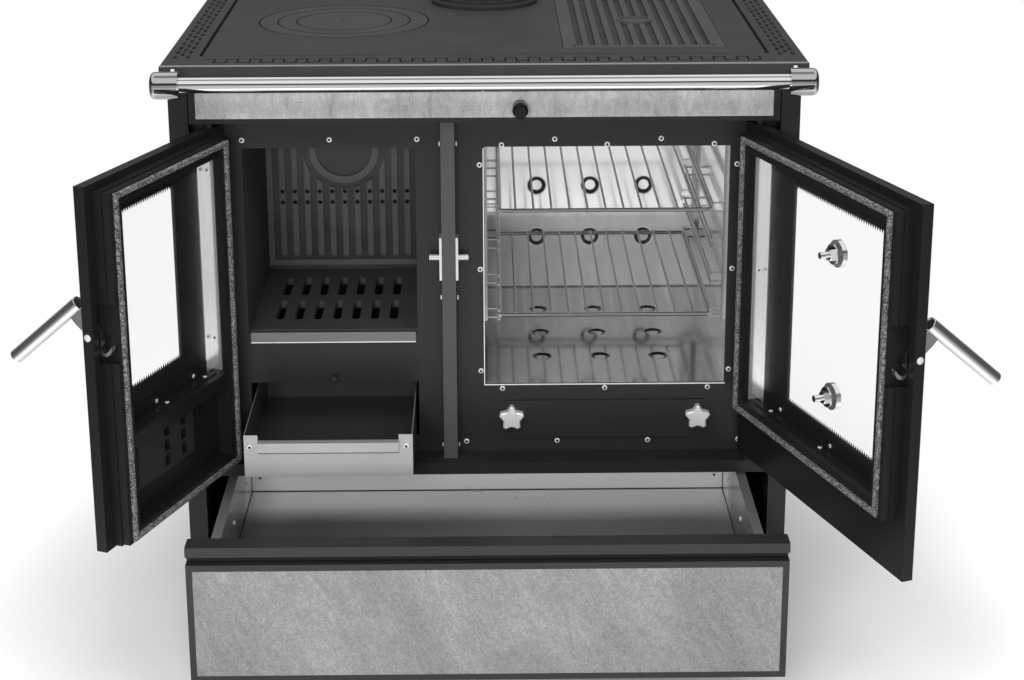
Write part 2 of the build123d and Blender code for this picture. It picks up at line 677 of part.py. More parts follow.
# Ash box that the pan slides into
ASH_ZS = (ASH_Z, HEARTH_Z - PLATE_T)
with BuildPart() as ash_box:
    block(
        (FIREBOX_X[0] - SHEET, FIREBOX_X[1] + SHEET),
        (FACE_BACK, FACE_BACK + ASH_BOX_D + SHEET),
        (ASH_Z - SHEET, ASH_ZS[1]),
    )
    block(FIREBOX_X, (FACE_BACK, FACE_BACK + ASH_BOX_D), ASH_ZS, Mode.SUBTRACT)

# Ash pan with its grip strip
PAN_Y = RECESS - PAN_OUT
PAN_X = (FIREBOX_X[0] + PAN_SIDE_GAP, FIREBOX_X[1] - PAN_SIDE_GAP)
PAN_Z = (ASH_Z + PAN_LIFT, ASH_Z + PAN_LIFT + PAN_H)
with BuildPart() as ash_pan:
    block(PAN_X, (PAN_Y, PAN_Y + PAN_D), PAN_Z)
    block(
        (PAN_X[0] + PAN_T, PAN_X[1] - PAN_T),
        (PAN_Y + PAN_T, PAN_Y + PAN_D - PAN_T),
        (PAN_Z[0] + PAN_T, PAN_Z[1]),
        Mode.SUBTRACT,
    )
    strip = (PAN_X[0] + PAN_EAR_W, PAN_X[1] - PAN_EAR_W)
    block(strip, (PAN_Y, PAN_Y + PAN_T), (PAN_Z[1] - GRIP_STRIP_DROP, PAN_Z[1]), Mode.SUBTRACT)
    with BuildSketch(Plane.YZ.offset(strip[0])) as lip:
        top = PAN_Z[1] - GRIP_STRIP_DROP
        with BuildLine():
            Polyline(
                (PAN_Y, top),
                (PAN_Y - GRIP_STRIP_T, top - 2),
                (PAN_Y - GRIP_STRIP_T, top - GRIP_STRIP_H + 4),
                (PAN_Y, top - GRIP_STRIP_H),
                close=True,
            )
        make_face()
    extrude(lip.sketch, amount=strip[1] - strip[0])

# Smoke chamber between the oven and the hob plate
SMOKE_X = (HEARTH_X[0] - PLATE_T, OVEN_X[1] + LINER_T)
SMOKE_Y = (FACE_BACK, BODY_D - 2 * SHEET - LINER_T)
with BuildPart() as smoke_chamber:
    block(SMOKE_X, SMOKE_Y, (SMOKE_Z, TOP_UNDER))
    block(
        (SMOKE_X[0] + PLATE_T, SMOKE_X[1] - PLATE_T),
        (SMOKE_Y[0] + PLATE_T, SMOKE_Y[1] - PLATE_T),
        (SMOKE_Z + PLATE_T, TOP_UNDER),
        Mode.SUBTRACT,
    )
    block(FIREBOX_X, (FACE_BACK + PLATE_T, FACE_BACK + FIREBOX_D), (SMOKE_Z, TOP_UNDER), Mode.SUBTRACT)
    disc(front_plane(FACE_BACK + PLATE_T), (DAMPER_X, DAMPER_Z), DAMPER_ROD_R + RUNNING_GAP, PLATE_T,
         Mode.SUBTRACT)

# Damper: knob, rod and the flap under the flue
FLAP_Y = (FLUE_Y - FLUE_R - 60, FLUE_Y - FLUE_R + 60)
FLAP_T = 4.0
with BuildPart() as damper_rod:
    disc(front_plane(-DAMPER_KNOB_L / 2), (DAMPER_X, DAMPER_Z), DAMPER_ROD_R,
         -(FLAP_Y[0] + DAMPER_KNOB_L / 2))
with BuildPart() as damper_knob:
    disc(front_plane(-SEAT_GAP), (DAMPER_X, DAMPER_Z), DAMPER_KNOB_R, DAMPER_KNOB_L)
    rims = damper_knob.edges().filter_by(GeomType.CIRCLE).sort_by(Axis.Y)
    fillet(rims[0], 5)
    disc(front_plane(0), (DAMPER_X, DAMPER_Z), DAMPER_ROD_R + RUNNING_GAP,
         DAMPER_KNOB_L / 2 + SEAT_GAP, Mode.SUBTRACT)
with BuildPart() as damper_flap:
    block((DAMPER_X - 70, DAMPER_X + 40), FLAP_Y, (DAMPER_Z - FLAP_T / 2, DAMPER_Z + FLAP_T / 2))

# Oven liner with stamped dimples in its floor, back and sides
LINER_BACK = RECESS + OVEN_D


def dimple(plane, place):
    """Cuts one conical dimple, widest on the given plane."""
    with BuildSketch(plane) as rim:
        with Locations(place):
            Circle(DIMPLE_R)
    slope = degrees(atan2(DIMPLE_R - DIMPLE_FLAT_R, DIMPLE_DEEP))
    extrude(rim.sketch, amount=DIMPLE_DEEP, taper=slope, mode=Mode.SUBTRACT)


with BuildPart() as oven_liner:
    block(
        (OVEN_X[0] - LINER_SHEET, OVEN_X[1] + LINER_SHEET),
        (FACE_BACK, LINER_BACK + LINER_SHEET),
        (OVEN_Z - LINER_SHEET, OVEN_TOP + LINER_SHEET),
    )
    block(OVEN_X, (FACE_BACK, LINER_BACK), (OVEN_Z, OVEN_TOP), Mode.SUBTRACT)
    oven_floor = Plane((0, 0, OVEN_Z), x_dir=(1, 0, 0), z_dir=(0, 0, -1))
    oven_back = Plane((0, LINER_BACK, 0), x_dir=(1, 0, 0), z_dir=(0, 1, 0))
    for column in (-1, 0, 1):
        x = OVEN_CX + column * DIMPLE_PITCH
        for row in (1, 2, 3):
            dimple(oven_back, (x, -(OVEN_Z + row * DIMPLE_PITCH)))
        for depth in DIMPLE_DEPTHS:
            dimple(oven_floor, (x, -(RECESS + depth)))

# Wire guides on both oven walls
GUIDE_Y = (RECESS + RACK_FRONT, RECESS + RACK_FRONT + RACK_D)
GUIDE_REACH = RACK_INSET
with BuildPart() as rack_guides:
    for side, wall in ((1, OVEN_X[0]), (-1, OVEN_X[1])):
        run_x = wall + side * (GUIDE_REACH + RACK_FRAME_R / 2)
        low = RACK_LOW_Z - RACK_FRAME_R - SEAT_GAP - GUIDE_R
        uprights = (GUIDE_Y[0] + GUIDE_END, GUIDE_Y[1] - GUIDE_END)
        for y in uprights:
            block(
                sorted((wall, wall + side * 2 * GUIDE_R)),
                (y - GUIDE_R, y + GUIDE_R),
                (low - GUIDE_R - 3, OVEN_TOP),
            )
        for level in range(RACK_LEVELS):
            for above in (0, GUIDE_PAIR):
                z = low + level * RACK_LEVEL_PITCH + above
                disc(front_plane(GUIDE_Y[0]), (run_x, z), GUIDE_R, -(GUIDE_Y[1] - GUIDE_Y[0]))
                for y in uprights:
                    block(
                        sorted((wall + side * GUIDE_R, run_x)),
                        (y - GUIDE_R / 2, y + GUIDE_R / 2),
                        (z - GUIDE_R / 2, z + GUIDE_R / 2),
                    )

# Oven racks
rack_parts = []
RACK_X = (OVEN_X[0] + RACK_INSET, OVEN_X[1] - RACK_INSET)
for level in (RACK_LEVELS - 1, 0):
    z = RACK_LOW_Z + level * RACK_LEVEL_PITCH
    with BuildPart() as rack:
        for x in (RACK_X[0] + RACK_FRAME_R, RACK_X[1] - RACK_FRAME_R):
            disc(front_plane(GUIDE_Y[0]), (x, z), RACK_FRAME_R, -RACK_D)
        for y in (GUIDE_Y[0] + RACK_FRAME_R, GUIDE_Y[1] - RACK_FRAME_R):
            disc(Plane.YZ.offset(RACK_X[0] + RACK_FRAME_R), (y, z), RACK_FRAME_R,
                 RACK_X[1] - RACK_X[0] - 2 * RACK_FRAME_R)
        pitch = (RACK_X[1] - RACK_X[0]) / (RACK_WIRES + 1)
        for wire in range(RACK_WIRES):
            x = RACK_X[0] + (wire + 1) * pitch
            disc(front_plane(GUIDE_Y[0] + RACK_FRAME_R), (x, z + RACK_FRAME_R), RACK_WIRE_R,
                 -(RACK_D - 2 * RACK_FRAME_R))
    rack_parts.append(rack)
oven_rack_upper, oven_rack_lower = rack_parts

# Cleaning cover below the oven, held by two star knobs
COVER_ZS = (COVER_Z, COVER_Z + COVER_H)
with BuildPart() as cleaning_cover:
    block(COVER_X, (RECESS - COVER_T, RECESS), COVER_ZS)
    for x in STAR_X:
        disc(front_plane(RECESS), (x, STAR_Z), STAR_STEM_R + RUNNING_GAP, COVER_T, Mode.SUBTRACT)
star_parts = []
for x in STAR_X:
    place = (x, STAR_Z)
    with BuildPart() as star_knob:
        head = front_plane(RECESS - COVER_T - SEAT_GAP)
        with BuildSketch(head) as star:
            with Locations(place):
                with PolarLocations(0, STAR_LOBES, start_angle=90):
                    Polygon(
                        (0, 0),
                        (STAR_R * 0.56, -STAR_R * 0.42),
                        (STAR_R * 1.02, -STAR_R * 0.12),
                        (STAR_R * 1.02, STAR_R * 0.12),
                        (STAR_R * 0.56, STAR_R * 0.42),
                        align=None,
                    )
            fillet(star.vertices(), STAR_R * 0.1)
        extrude(star.sketch, amount=STAR_T)
        chamfer(star_knob.faces().sort_by(Axis.Y)[0].edges(), STAR_R * 0.1)
        disc(head, place, STAR_STEM_R, -(COVER_T + SEAT_GAP))
    star_parts.append(star_knob)
star_knob_left, star_knob_right = star_parts

# Wood drawer: front, stone panel and galvanized box
DRAWER_TOP = LEDGE_Z - DRAWER_TOP_GAP
DRAWER_X = POST_IN - DRAWER_GAP
DRAWER_ZS = (DRAWER_BOTTOM, DRAWER_TOP)
STONE_TOP = DRAWER_TOP - DRAWER_BAR_H - DRAWER_GROOVE_H - DRAWER_FRAME
PANEL_X = DRAWER_X - DRAWER_FRAME
PANEL_Z = (DRAWER_BOTTOM + DRAWER_FRAME, STONE_TOP)
DRAWER_FRONT_Y = -DRAWER_OUT
with BuildPart() as drawer_front:
    block((-DRAWER_X, DRAWER_X), (DRAWER_FRONT_Y, DRAWER_FRONT_Y + DRAWER_T), DRAWER_ZS)
    groove_top = DRAWER_TOP - DRAWER_BAR_H
    block(
        (-DRAWER_X, DRAWER_X),
        (DRAWER_FRONT_Y, DRAWER_FRONT_Y + DRAWER_GROOVE_D),
        (groove_top - DRAWER_GROOVE_H, groove_top),
        Mode.SUBTRACT,
    )
    block(
        (-PANEL_X, PANEL_X),
        (DRAWER_FRONT_Y, DRAWER_FRONT_Y + DRAWER_STONE_T),
        PANEL_Z,
        Mode.SUBTRACT,
    )
with BuildPart() as drawer_stone_panel:
    block((-PANEL_X, PANEL_X), (DRAWER_FRONT_Y, DRAWER_FRONT_Y + DRAWER_STONE_T), PANEL_Z)

RIM_Z = DRAWER_TOP - DRAWER_RIM_GAP
BOX_Y = (DRAWER_FRONT_Y + DRAWER_T, DRAWER_FRONT_Y + DRAWER_T + DRAWER_L)
BOX_X = DRAWER_HALF_W + DRAWER_SHEET
with BuildPart() as drawer_box:
    block((-BOX_X, BOX_X), (BOX_Y[0], BOX_Y[1] + DRAWER_SHEET), (DRAWER_FLOOR_Z - DRAWER_SHEET, RIM_Z))
    block(
        (-DRAWER_HALF_W, DRAWER_HALF_W),
        BOX_Y,
        (DRAWER_FLOOR_Z, RIM_Z),
        Mode.SUBTRACT,
    )
    for side in (-1, 1):
        flange = sorted((side * BOX_X, side * (BOX_X + DRAWER_FLANGE)))
        block(flange, (BOX_Y[0], BOX_Y[1] + DRAWER_SHEET), (RIM_Z - DRAWER_FLANGE_T, RIM_Z))

# Runners on the body that carry the drawer's flanges
RUNNER_TOP = RIM_Z - DRAWER_FLANGE_T - SEAT_GAP
with BuildPart() as cabinet_runners:
    for side in (-1, 1):
        shelf = sorted((side * (BOX_X + RUNNER_T), side * INNER_HALF))
        leg = sorted((side * (INNER_HALF - RUNNER_T), side * INNER_HALF))
        block(shelf, (RECESS, RECESS + RUNNER_L), (RUNNER_TOP - RUNNER_T, RUNNER_TOP))
        block(leg, (RECESS, RECESS + RUNNER_L), (RUNNER_TOP - FLANGE_W, RUNNER_TOP))


# Door panels, glass, casings, gaskets and glass clips
def casing_frame(door, bottom, step):
    """Outline of a casing layer: w and z spans, drawn in by step."""
    ws = (CASING_HINGE_W + step, door.width - CASING_INSET - step)
    zs = (bottom + step, DOOR_Z[1] - CASING_TOP_DROP - step)
    return ws, zs


def gasket_frame(door, bottom):
    ws, zs = casing_frame(door, bottom, CASING_STEP + GASKET_MARGIN)
    notch_clear = door.width - CASING_INSET - LEVER_NOTCH - GASKET_MARGIN
    return (ws[0], notch_clear), zs


def inner_frame(door, bottom):
    """Opening through the casing, one rim inside the gasket."""
    ws, zs = gasket_frame(door, bottom)
    rim = GASKET_W + CASING_RIM
    return (ws[0] + rim, ws[1] - rim), (zs[0] + rim, zs[1] - rim)


def make_door_panel(door, glass_bottom, casing_bottom):
    ws, zs = inner_frame(door, casing_bottom)
    with BuildPart() as panel:
        door.slab((-DOOR_HEEL, door.width), DOOR_Z, (0, DOOR_T))
        outer = panel.faces().sort_by(Axis(door.axis, door.outward))[-1]
        chamfer(outer.edges(), 1.2)
        window_w = (ws[0] + GLASS_HOLD, ws[1] - GLASS_HOLD)
        window_z = (glass_bottom + GLASS_HOLD, zs[1] - GLASS_HOLD)
        door.slab(window_w, window_z, (0, DOOR_T), Mode.SUBTRACT)
        glass_w = (ws[0] - GLASS_HOLD, ws[1] + GLASS_HOLD)
        glass_z = (glass_bottom - GLASS_HOLD, zs[1] + GLASS_HOLD)
        door.slab(glass_w, glass_z, (WINDOW_LIP, DOOR_T), Mode.SUBTRACT)
        lever_w = (door.width - LEVER_INSET - LEVER_T, door.width - LEVER_INSET)
        slot_z = (HANDLE_Z - LEVER_SLOT_H / 2, HANDLE_Z + LEVER_SLOT_H / 2)
        door.slab((lever_w[0] - 2, lever_w[1] + 2), slot_z, (0, DOOR_T), Mode.SUBTRACT)
        shaft_hole = LEVER_T + SEAT_GAP
        disc(
            door.edge(lever_w[0] - shaft_hole),
            (0, 0),
            PIVOT_R + RUNNING_GAP,
            door.toward_free_edge(shaft_hole + LEVER_T + LEVER_INSET),
            Mode.SUBTRACT,
        )
        head_seat = PIVOT_HEAD_T - PIVOT_HEAD_PROUD + SEAT_GAP
        disc(
            door.edge(door.width - head_seat),
            (0, 0),
            PIVOT_HEAD_R + RUNNING_GAP,
            door.toward_free_edge(head_seat),
            Mode.SUBTRACT,
        )
        door.hinge_hole(Plane.XY.offset(DOOR_Z[0]), HINGE_PIN_DEPTH + SEAT_GAP)
        door.hinge_hole(Plane.XY.offset(DOOR_Z[1]), -HINGE_PIN_DEPTH - SEAT_GAP)
    return panel


def make_door_glass(door, glass_bottom, casing_bottom):
    ws, zs = inner_frame(door, casing_bottom)
    hold = GLASS_HOLD - SEAT_GAP
    with BuildPart() as glass:
        door.slab((ws[0] - hold, ws[1] + hold), (glass_bottom - hold, zs[1] + hold),
                  (WINDOW_LIP, GLASS_BACK))
    return glass


def make_door_casing(door, casing_bottom, openings):
    with BuildPart() as casing:
        for step, depths in (
            (0, (DOOR_T, DOOR_T + CASING_A_T)),
            (CASING_STEP, (DOOR_T + CASING_A_T, CASING_BACK)),
        ):
            ws, zs = casing_frame(door, casing_bottom, step)
            door.slab(ws, zs, depths)
        for ws, zs in openings:
            door.slab(ws, zs, (DOOR_T, CASING_BACK), Mode.SUBTRACT)
        ws, zs = openings[0]
        for edge, into in ((zs[0], 1), (zs[1], -1)):
            strip_w = (ws[0] + CLIP_LEG, ws[1] - CLIP_LEG)
            leg = sorted((edge, edge + into * CLIP_T))
            foot = sorted((edge, edge + into * CLIP_LEG))
            door.slab(strip_w, leg, (GLASS_BACK, DOOR_T + CASING_A_T))
            door.slab(strip_w, foot, (GLASS_BACK, GLASS_BACK + CLIP_T))
        notch_w = (door.width - CASING_INSET - LEVER_NOTCH, door.width)
        notch_z = (HANDLE_Z - LEVER_SLOT_H / 2, HANDLE_Z + LEVER_SLOT_H / 2)
        door.slab(notch_w, notch_z, (DOOR_T, CASING_BACK), Mode.SUBTRACT)
        ws, zs = gasket_frame(door, casing_bottom)
        with BuildSketch(door.face(CASING_BACK)) as groove:
            with Locations((door.side * middle(ws), middle(zs))):
                Rectangle(ws[1] - ws[0], zs[1] - zs[0])
                Rectangle(
                    ws[1] - ws[0] - 2 * GASKET_W,
                    zs[1] - zs[0] - 2 * GASKET_W,
                    mode=Mode.SUBTRACT,
                )
        extrude(groove.sketch, amount=GASKET_GROOVE, mode=Mode.SUBTRACT)
    return casing


def make_door_gasket(door, casing_bottom):
    ws, zs = gasket_frame(door, casing_bottom)
    top = RECESS - SEAT_GAP
    with BuildPart() as gasket:
        with BuildSketch(door.face(top)) as rope:
            with Locations((door.side * middle(ws), middle(zs))):
                Rectangle(ws[1] - ws[0], zs[1] - zs[0])
                Rectangle(
                    ws[1] - ws[0] - 2 * GASKET_W,
                    zs[1] - zs[0] - 2 * GASKET_W,
                    mode=Mode.SUBTRACT,
                )
        extrude(rope.sketch, amount=top - CASING_BACK + GASKET_GROOVE)
        face = gasket.faces().sort_by(Axis(door.axis, door.outward))[0]
        fillet(face.edges(), GASKET_W * 0.3)
    return gasket


def make_glass_clips(door, glass_bottom, casing_bottom):
    """Upright angle strips that hold the glass along both sides."""
    ws, zs = inner_frame(door, casing_bottom)
    zs = (glass_bottom, zs[1])
    with BuildPart() as clips:
        for edge, into in ((ws[0], 1), (ws[1], -1)):
            leg = sorted((edge, edge + into * CLIP_T))
            foot = sorted((edge, edge + into * CLIP_LEG))
            door.slab(leg, zs, (GLASS_BACK, DOOR_T + CASING_A_T))
            door.slab(foot, zs, (GLASS_BACK, GLASS_BACK + CLIP_T))
    return clips


def polar(radius, angle):
    return (radius * cos(radians(angle)), radius * sin(radians(angle)))


def make_handle_lever(door):
    """Lever with its hub, hook and cross shaft, in the lifted position."""
    first = door.width - LEVER_INSET - LEVER_T
    hook_at = 180 + HOOK_ANGLE
    turn = radians(GRIP_ANGLE)

    def on_grip(out, up):
        """Point in the lever's plane from distances square to the grip and along it."""
        return (out * cos(turn) - up * sin(turn), out * sin(turn) + up * cos(turn))

    with BuildPart() as lever:
        with BuildSketch(door.edge(first)) as profile:
            Circle(HUB_R)
            with BuildLine():
                Polyline(
                    on_grip(0, -HUB_R),
                    on_grip(26, -13),
                    on_grip(GRIP_REACH - 4, -13),
                    on_grip(GRIP_REACH - 4, 8),
                    on_grip(GRIP_REACH - GRIP_R - 2, 8),
                    on_grip(14, HUB_R),
                    on_grip(0, HUB_R),
                    close=True,
                )
            make_face()
            with Locations(polar(HOOK_REACH, hook_at)):
                Circle(HOOK_R + HOOK_T)
            with BuildLine():
                Polyline(
                    polar(HUB_R, hook_at - 30),
                    polar(HOOK_REACH - HOOK_R, hook_at - 8),
                    polar(HOOK_REACH, hook_at + 16),
                    polar(HUB_R, hook_at + 60),
                    close=True,
                )
            make_face()
            with BuildLine():
                inner = HOOK_REACH - HOOK_R
                outer = HOOK_REACH + HOOK_R
                inside = CenterArc((0, 0), inner, hook_at - HANDLE_LIFT - 25, HANDLE_LIFT + 25)
                outside = CenterArc((0, 0), outer, hook_at - HANDLE_LIFT - 25, HANDLE_LIFT + 25)
                Line(inside @ 0, outside @ 0)
                Line(inside @ 1, outside @ 1)
            make_face(mode=Mode.SUBTRACT)
            with Locations(polar(HOOK_REACH, hook_at)):
                Circle(HOOK_R, mode=Mode.SUBTRACT)
        extrude(profile.sketch, amount=door.toward_free_edge(LEVER_T))
        shaft_start = first - LEVER_T
        head_start = door.width + PIVOT_HEAD_PROUD - PIVOT_HEAD_T
        disc(door.edge(shaft_start), (0, 0), PIVOT_R,
             door.toward_free_edge(head_start - shaft_start))
        disc(door.edge(head_start), (0, 0), PIVOT_HEAD_R, door.toward_free_edge(PIVOT_HEAD_T))
    return lever


def make_handle_grip(door):
    """Round grip on the lever, with a pocket where the lever's arm enters."""
    first = door.width - LEVER_INSET - LEVER_T
    turn = radians(GRIP_ANGLE)
    out_dir = door.outward * cos(turn) + Vector(0, 0, 1) * sin(turn)
    up_dir = Vector(0, 0, 1) * cos(turn) - door.outward * sin(turn)
    centre = door.axis + door.along * (first + LEVER_T / 2) + Vector(0, 0, HANDLE_Z)
    top = centre + out_dir * GRIP_REACH + up_dir * GRIP_ABOVE
    with BuildPart() as grip:
        disc(Plane(top, x_dir=out_dir, z_dir=up_dir), (0, 0), GRIP_R, -GRIP_L)
        fillet(grip.edges().filter_by(GeomType.CIRCLE), 1.5)
        pocket = Plane(centre + out_dir * (GRIP_REACH - 4), x_dir=door.along, z_dir=-out_dir)
        with BuildSketch(pocket) as arm:
            with Locations((0, -pocket.y_dir.dot(up_dir) * 2.5)):
                Rectangle(LEVER_T, 21)
        extrude(arm.sketch, amount=GRIP_R, mode=Mode.SUBTRACT)
    return grip


oven_ws, oven_zs = inner_frame(oven_door, OVEN_CASING_Z)
oven_glass_z = oven_zs[0]
firebox_ws, firebox_zs = inner_frame(firebox_door, FIREBOX_CASING_Z)

firebox_door_panel = make_door_panel(firebox_door, FIREBOX_GLASS_Z, FIREBOX_CASING_Z)
oven_door_panel = make_door_panel(oven_door, oven_glass_z, OVEN_CASING_Z)
firebox_door_glass = make_door_glass(firebox_door, FIREBOX_GLASS_Z, FIREBOX_CASING_Z)
oven_door_glass = make_door_glass(oven_door, oven_glass_z, OVEN_CASING_Z)
firebox_door_casing = make_door_casing(
    firebox_door,
    FIREBOX_CASING_Z,
    [
        (firebox_ws, (FIREBOX_GLASS_Z, firebox_zs[1])),
        (firebox_ws, (VENT_POCKET_Z, FIREBOX_GLASS_Z - CROSSBAR_H)),
    ],
)
oven_door_casing = make_door_casing(oven_door, OVEN_CASING_Z, [(oven_ws, oven_zs)])
firebox_door_gasket = make_door_gasket(firebox_door, FIREBOX_CASING_Z)
oven_door_gasket = make_door_gasket(oven_door, OVEN_CASING_Z)
firebox_glass_clips = make_glass_clips(firebox_door, FIREBOX_GLASS_Z, FIREBOX_CASING_Z)
oven_glass_clips = make_glass_clips(oven_door, oven_glass_z, OVEN_CASING_Z)
firebox_handle_lever = make_handle_lever(firebox_door)
oven_handle_lever = make_handle_lever(oven_door)
firebox_handle_grip = make_handle_grip(firebox_door)
oven_handle_grip = make_handle_grip(oven_door)

# Air vents low in the firebox door, and the register plate that slides behind them
VENT_STACK_H = VENT_ROWS * VENT_H + (VENT_ROWS - 1) * VENT_BAR


def cut_vents(door, depths):
    for inset in VENT_INSETS:
        w = door.width - inset
        for row in range(VENT_ROWS):
            z = VENT_Z + row * (VENT_H + VENT_BAR)
            door.slab((w - VENT_W / 2, w + VENT_W / 2), (z, z + VENT_H), depths, Mode.SUBTRACT)


with firebox_door_panel:
    cut_vents(firebox_door, (0, DOOR_T))
with BuildPart() as air_register:
    register_w = (
        firebox_door.width - VENT_INSETS[0] - 1.6 * VENT_W,
        firebox_door.width - VENT_INSETS[-1] + VENT_W,
    )
    register_z = (VENT_Z - 6, VENT_Z + VENT_STACK_H + 6)
    register_y = DOOR_T + SEAT_GAP
    firebox_door.slab(register_w, register_z, (register_y, register_y + REGISTER_T))
    cut_vents(firebox_door, (register_y, register_y + REGISTER_T))

# Thermometer and vent valve through the oven glass
fitting_parts = []
for height in (THERMOMETER_Z, VALVE_Z):
    place = (oven_door.side * FITTING_W, height)
    with oven_door_glass:
        disc(oven_door.face(GLASS_BACK), place, FITTING_STUB_R + RUNNING_GAP, GLASS_T, Mode.SUBTRACT)
    inside = GLASS_BACK + SEAT_GAP
    with BuildPart() as fitting:
        disc(oven_door.face(GLASS_BACK + FITTING_STUB_L), place, FITTING_STUB_R,
             FITTING_STUB_L + GLASS_T + SEAT_GAP)
        disc(oven_door.face(WINDOW_LIP - SEAT_GAP), place, FITTING_DISC_R, WINDOW_LIP)
        disc(oven_door.face(inside + CLIP_T), place, FITTING_WASHER_R, CLIP_T)
        with BuildSketch(oven_door.face(inside + CLIP_T + FITTING_NUT_T)) as nut:
            with Locations(place):
                RegularPolygon(FITTING_NUT_R, 6)
        extrude(nut.sketch, amount=FITTING_NUT_T)
    fitting_parts.append(fitting)
oven_thermometer, oven_vent_valve = fitting_parts

os.makedirs("parts", exist_ok=True)
pieces = {
    "side_panel_left": side_panel_left,
    "side_panel_right": side_panel_right,
    "back_panel": back_panel,
    "base_tray": base_tray,
    "plinth": plinth,
    "bottom_ledge": bottom_ledge,
    "face_plate": face_plate,
    "lintel": lintel,
    "stone_strip": stone_strip,
    "middle_bar": middle_bar,
    "latch_strikers": latch_strikers,
    "hinge_pins": hinge_pins,
    "towel_rail": towel_rail,
    "rail_brackets": rail_brackets,
    "top_frame": top_frame,
    "hob_plate": hob_plate,
    "ring_outer": ring_outer,
    "ring_inner": ring_inner,
    "ring_cap": ring_cap,
    "griddle_plate": griddle_plate,
    "flue_collar": flue_collar,
    "firebox_casing": firebox_casing,
    "firebox_liners": firebox_liners,
    "back_casting": back_casting,
    "fire_grate": fire_grate,
    "sill_strip": sill_strip,
    "ash_box": ash_box,
    "ash_pan": ash_pan,
    "smoke_chamber": smoke_chamber,
    "damper_rod": damper_rod,
    "damper_knob": damper_knob,
    "damper_flap": damper_flap,
    "oven_liner": oven_liner,
    "rack_guides": rack_guides,
    "oven_rack_upper": oven_rack_upper,
    "oven_rack_lower": oven_rack_lower,
    "cleaning_cover": cleaning_cover,
    "star_knob_left": star_knob_left,
    "star_knob_right": star_knob_right,
    "drawer_front": drawer_front,
    "drawer_stone_panel": drawer_stone_panel,
    "drawer_box": drawer_box,
    "cabinet_runners": cabinet_runners,
    "firebox_door_panel": firebox_door_panel,
    "firebox_door_casing": firebox_door_casing,
    "firebox_door_glass": firebox_door_glass,
    "firebox_door_gasket": firebox_door_gasket,
    "firebox_glass_clips": firebox_glass_clips,
    "firebox_handle_lever": firebox_handle_lever,
    "firebox_handle_grip": firebox_handle_grip,
    "air_register": air_register,
    "oven_door_panel": oven_door_panel,
    "oven_door_casing": oven_door_casing,
    "oven_door_glass": oven_door_glass,
    "oven_door_gasket": oven_door_gasket,
    "oven_glass_clips": oven_glass_clips,
    "oven_thermometer": oven_thermometer,
    "oven_vent_valve": oven_vent_valve,
    "oven_handle_lever": oven_handle_lever,
    "oven_handle_grip": oven_handle_grip,
}
for label, piece in pieces.items():
    piece.part.label = label
    export_step(piece.part, f"parts/{label}.step")
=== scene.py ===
import bpy
from math import cos, pi, radians, sin
from mathutils import Matrix, Vector


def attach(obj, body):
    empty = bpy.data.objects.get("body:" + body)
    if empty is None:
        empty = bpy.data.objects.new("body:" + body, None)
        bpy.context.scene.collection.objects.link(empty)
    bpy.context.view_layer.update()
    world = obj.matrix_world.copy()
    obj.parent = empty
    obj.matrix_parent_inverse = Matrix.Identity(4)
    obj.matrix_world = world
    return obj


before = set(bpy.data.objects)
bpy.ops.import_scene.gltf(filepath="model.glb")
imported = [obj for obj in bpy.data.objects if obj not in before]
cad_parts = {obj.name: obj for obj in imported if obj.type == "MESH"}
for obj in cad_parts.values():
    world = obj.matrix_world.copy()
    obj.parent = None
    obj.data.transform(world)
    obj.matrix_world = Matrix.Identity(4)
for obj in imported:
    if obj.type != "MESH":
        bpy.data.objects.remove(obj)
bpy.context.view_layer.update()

# Units, and planes of the CAD in millimetres
MM = 0.001
TOP_Z = 860.0
FACE_Y = 43.0
HINGE_X = 382.0
HINGE_Y = 8.0
OVEN_BACK_Y = 488.0
OVEN_FLOOR_Z = 373.0
DIMPLE_DEPTH = 2.4
PAN_RIM_Z = 355.9
CASING_TOP_Z = 760.0

# Node trees
NOISE_REACH = (0.3, 0.7)


class Nodes:
    """A node tree with short helpers."""

    def __init__(self, tree):
        self.tree = tree

    def add(self, kind, **values):
        node = self.tree.nodes.new(kind)
        for key, value in values.items():
            setattr(node, key, value)
        return node

    def link(self, a, b):
        self.tree.links.new(a, b)

    def math(self, operation, *values):
        node = self.add("ShaderNodeMath", operation=operation)
        for slot, value in zip(node.inputs, values):
            if isinstance(value, (int, float)):
                slot.default_value = value
            else:
                self.link(value, slot)
        return node.outputs[0]

    def blend(self, *parts):
        """The sum of values, each times its weight."""
        total = None
        for value, weight in parts:
            share = self.math("MULTIPLY", value, weight)
            total = self.math("ADD", total, share) if total else share
        return total

    def span(self, fac, low, high, to_low, to_high, kind="LINEAR"):
        node = self.add("ShaderNodeMapRange", interpolation_type=kind)
        limits = {"From Min": low, "From Max": high, "To Min": to_low, "To Max": to_high}
        for key, value in limits.items():
            node.inputs[key].default_value = value
        self.link(fac, node.inputs["Value"])
        return node.outputs["Result"]

    def ramp(self, fac, stops):
        """A grey that follows pairs of place and value."""
        node = self.add("ShaderNodeValToRGB")
        elements = node.color_ramp.elements
        while len(elements) < len(stops):
            elements.new(0.5)
        for element, (place, value) in zip(elements, stops):
            element.position = place
            element.color = (value, value, value, 1)
        self.link(fac, node.inputs["Fac"])
        return node.outputs["Color"]


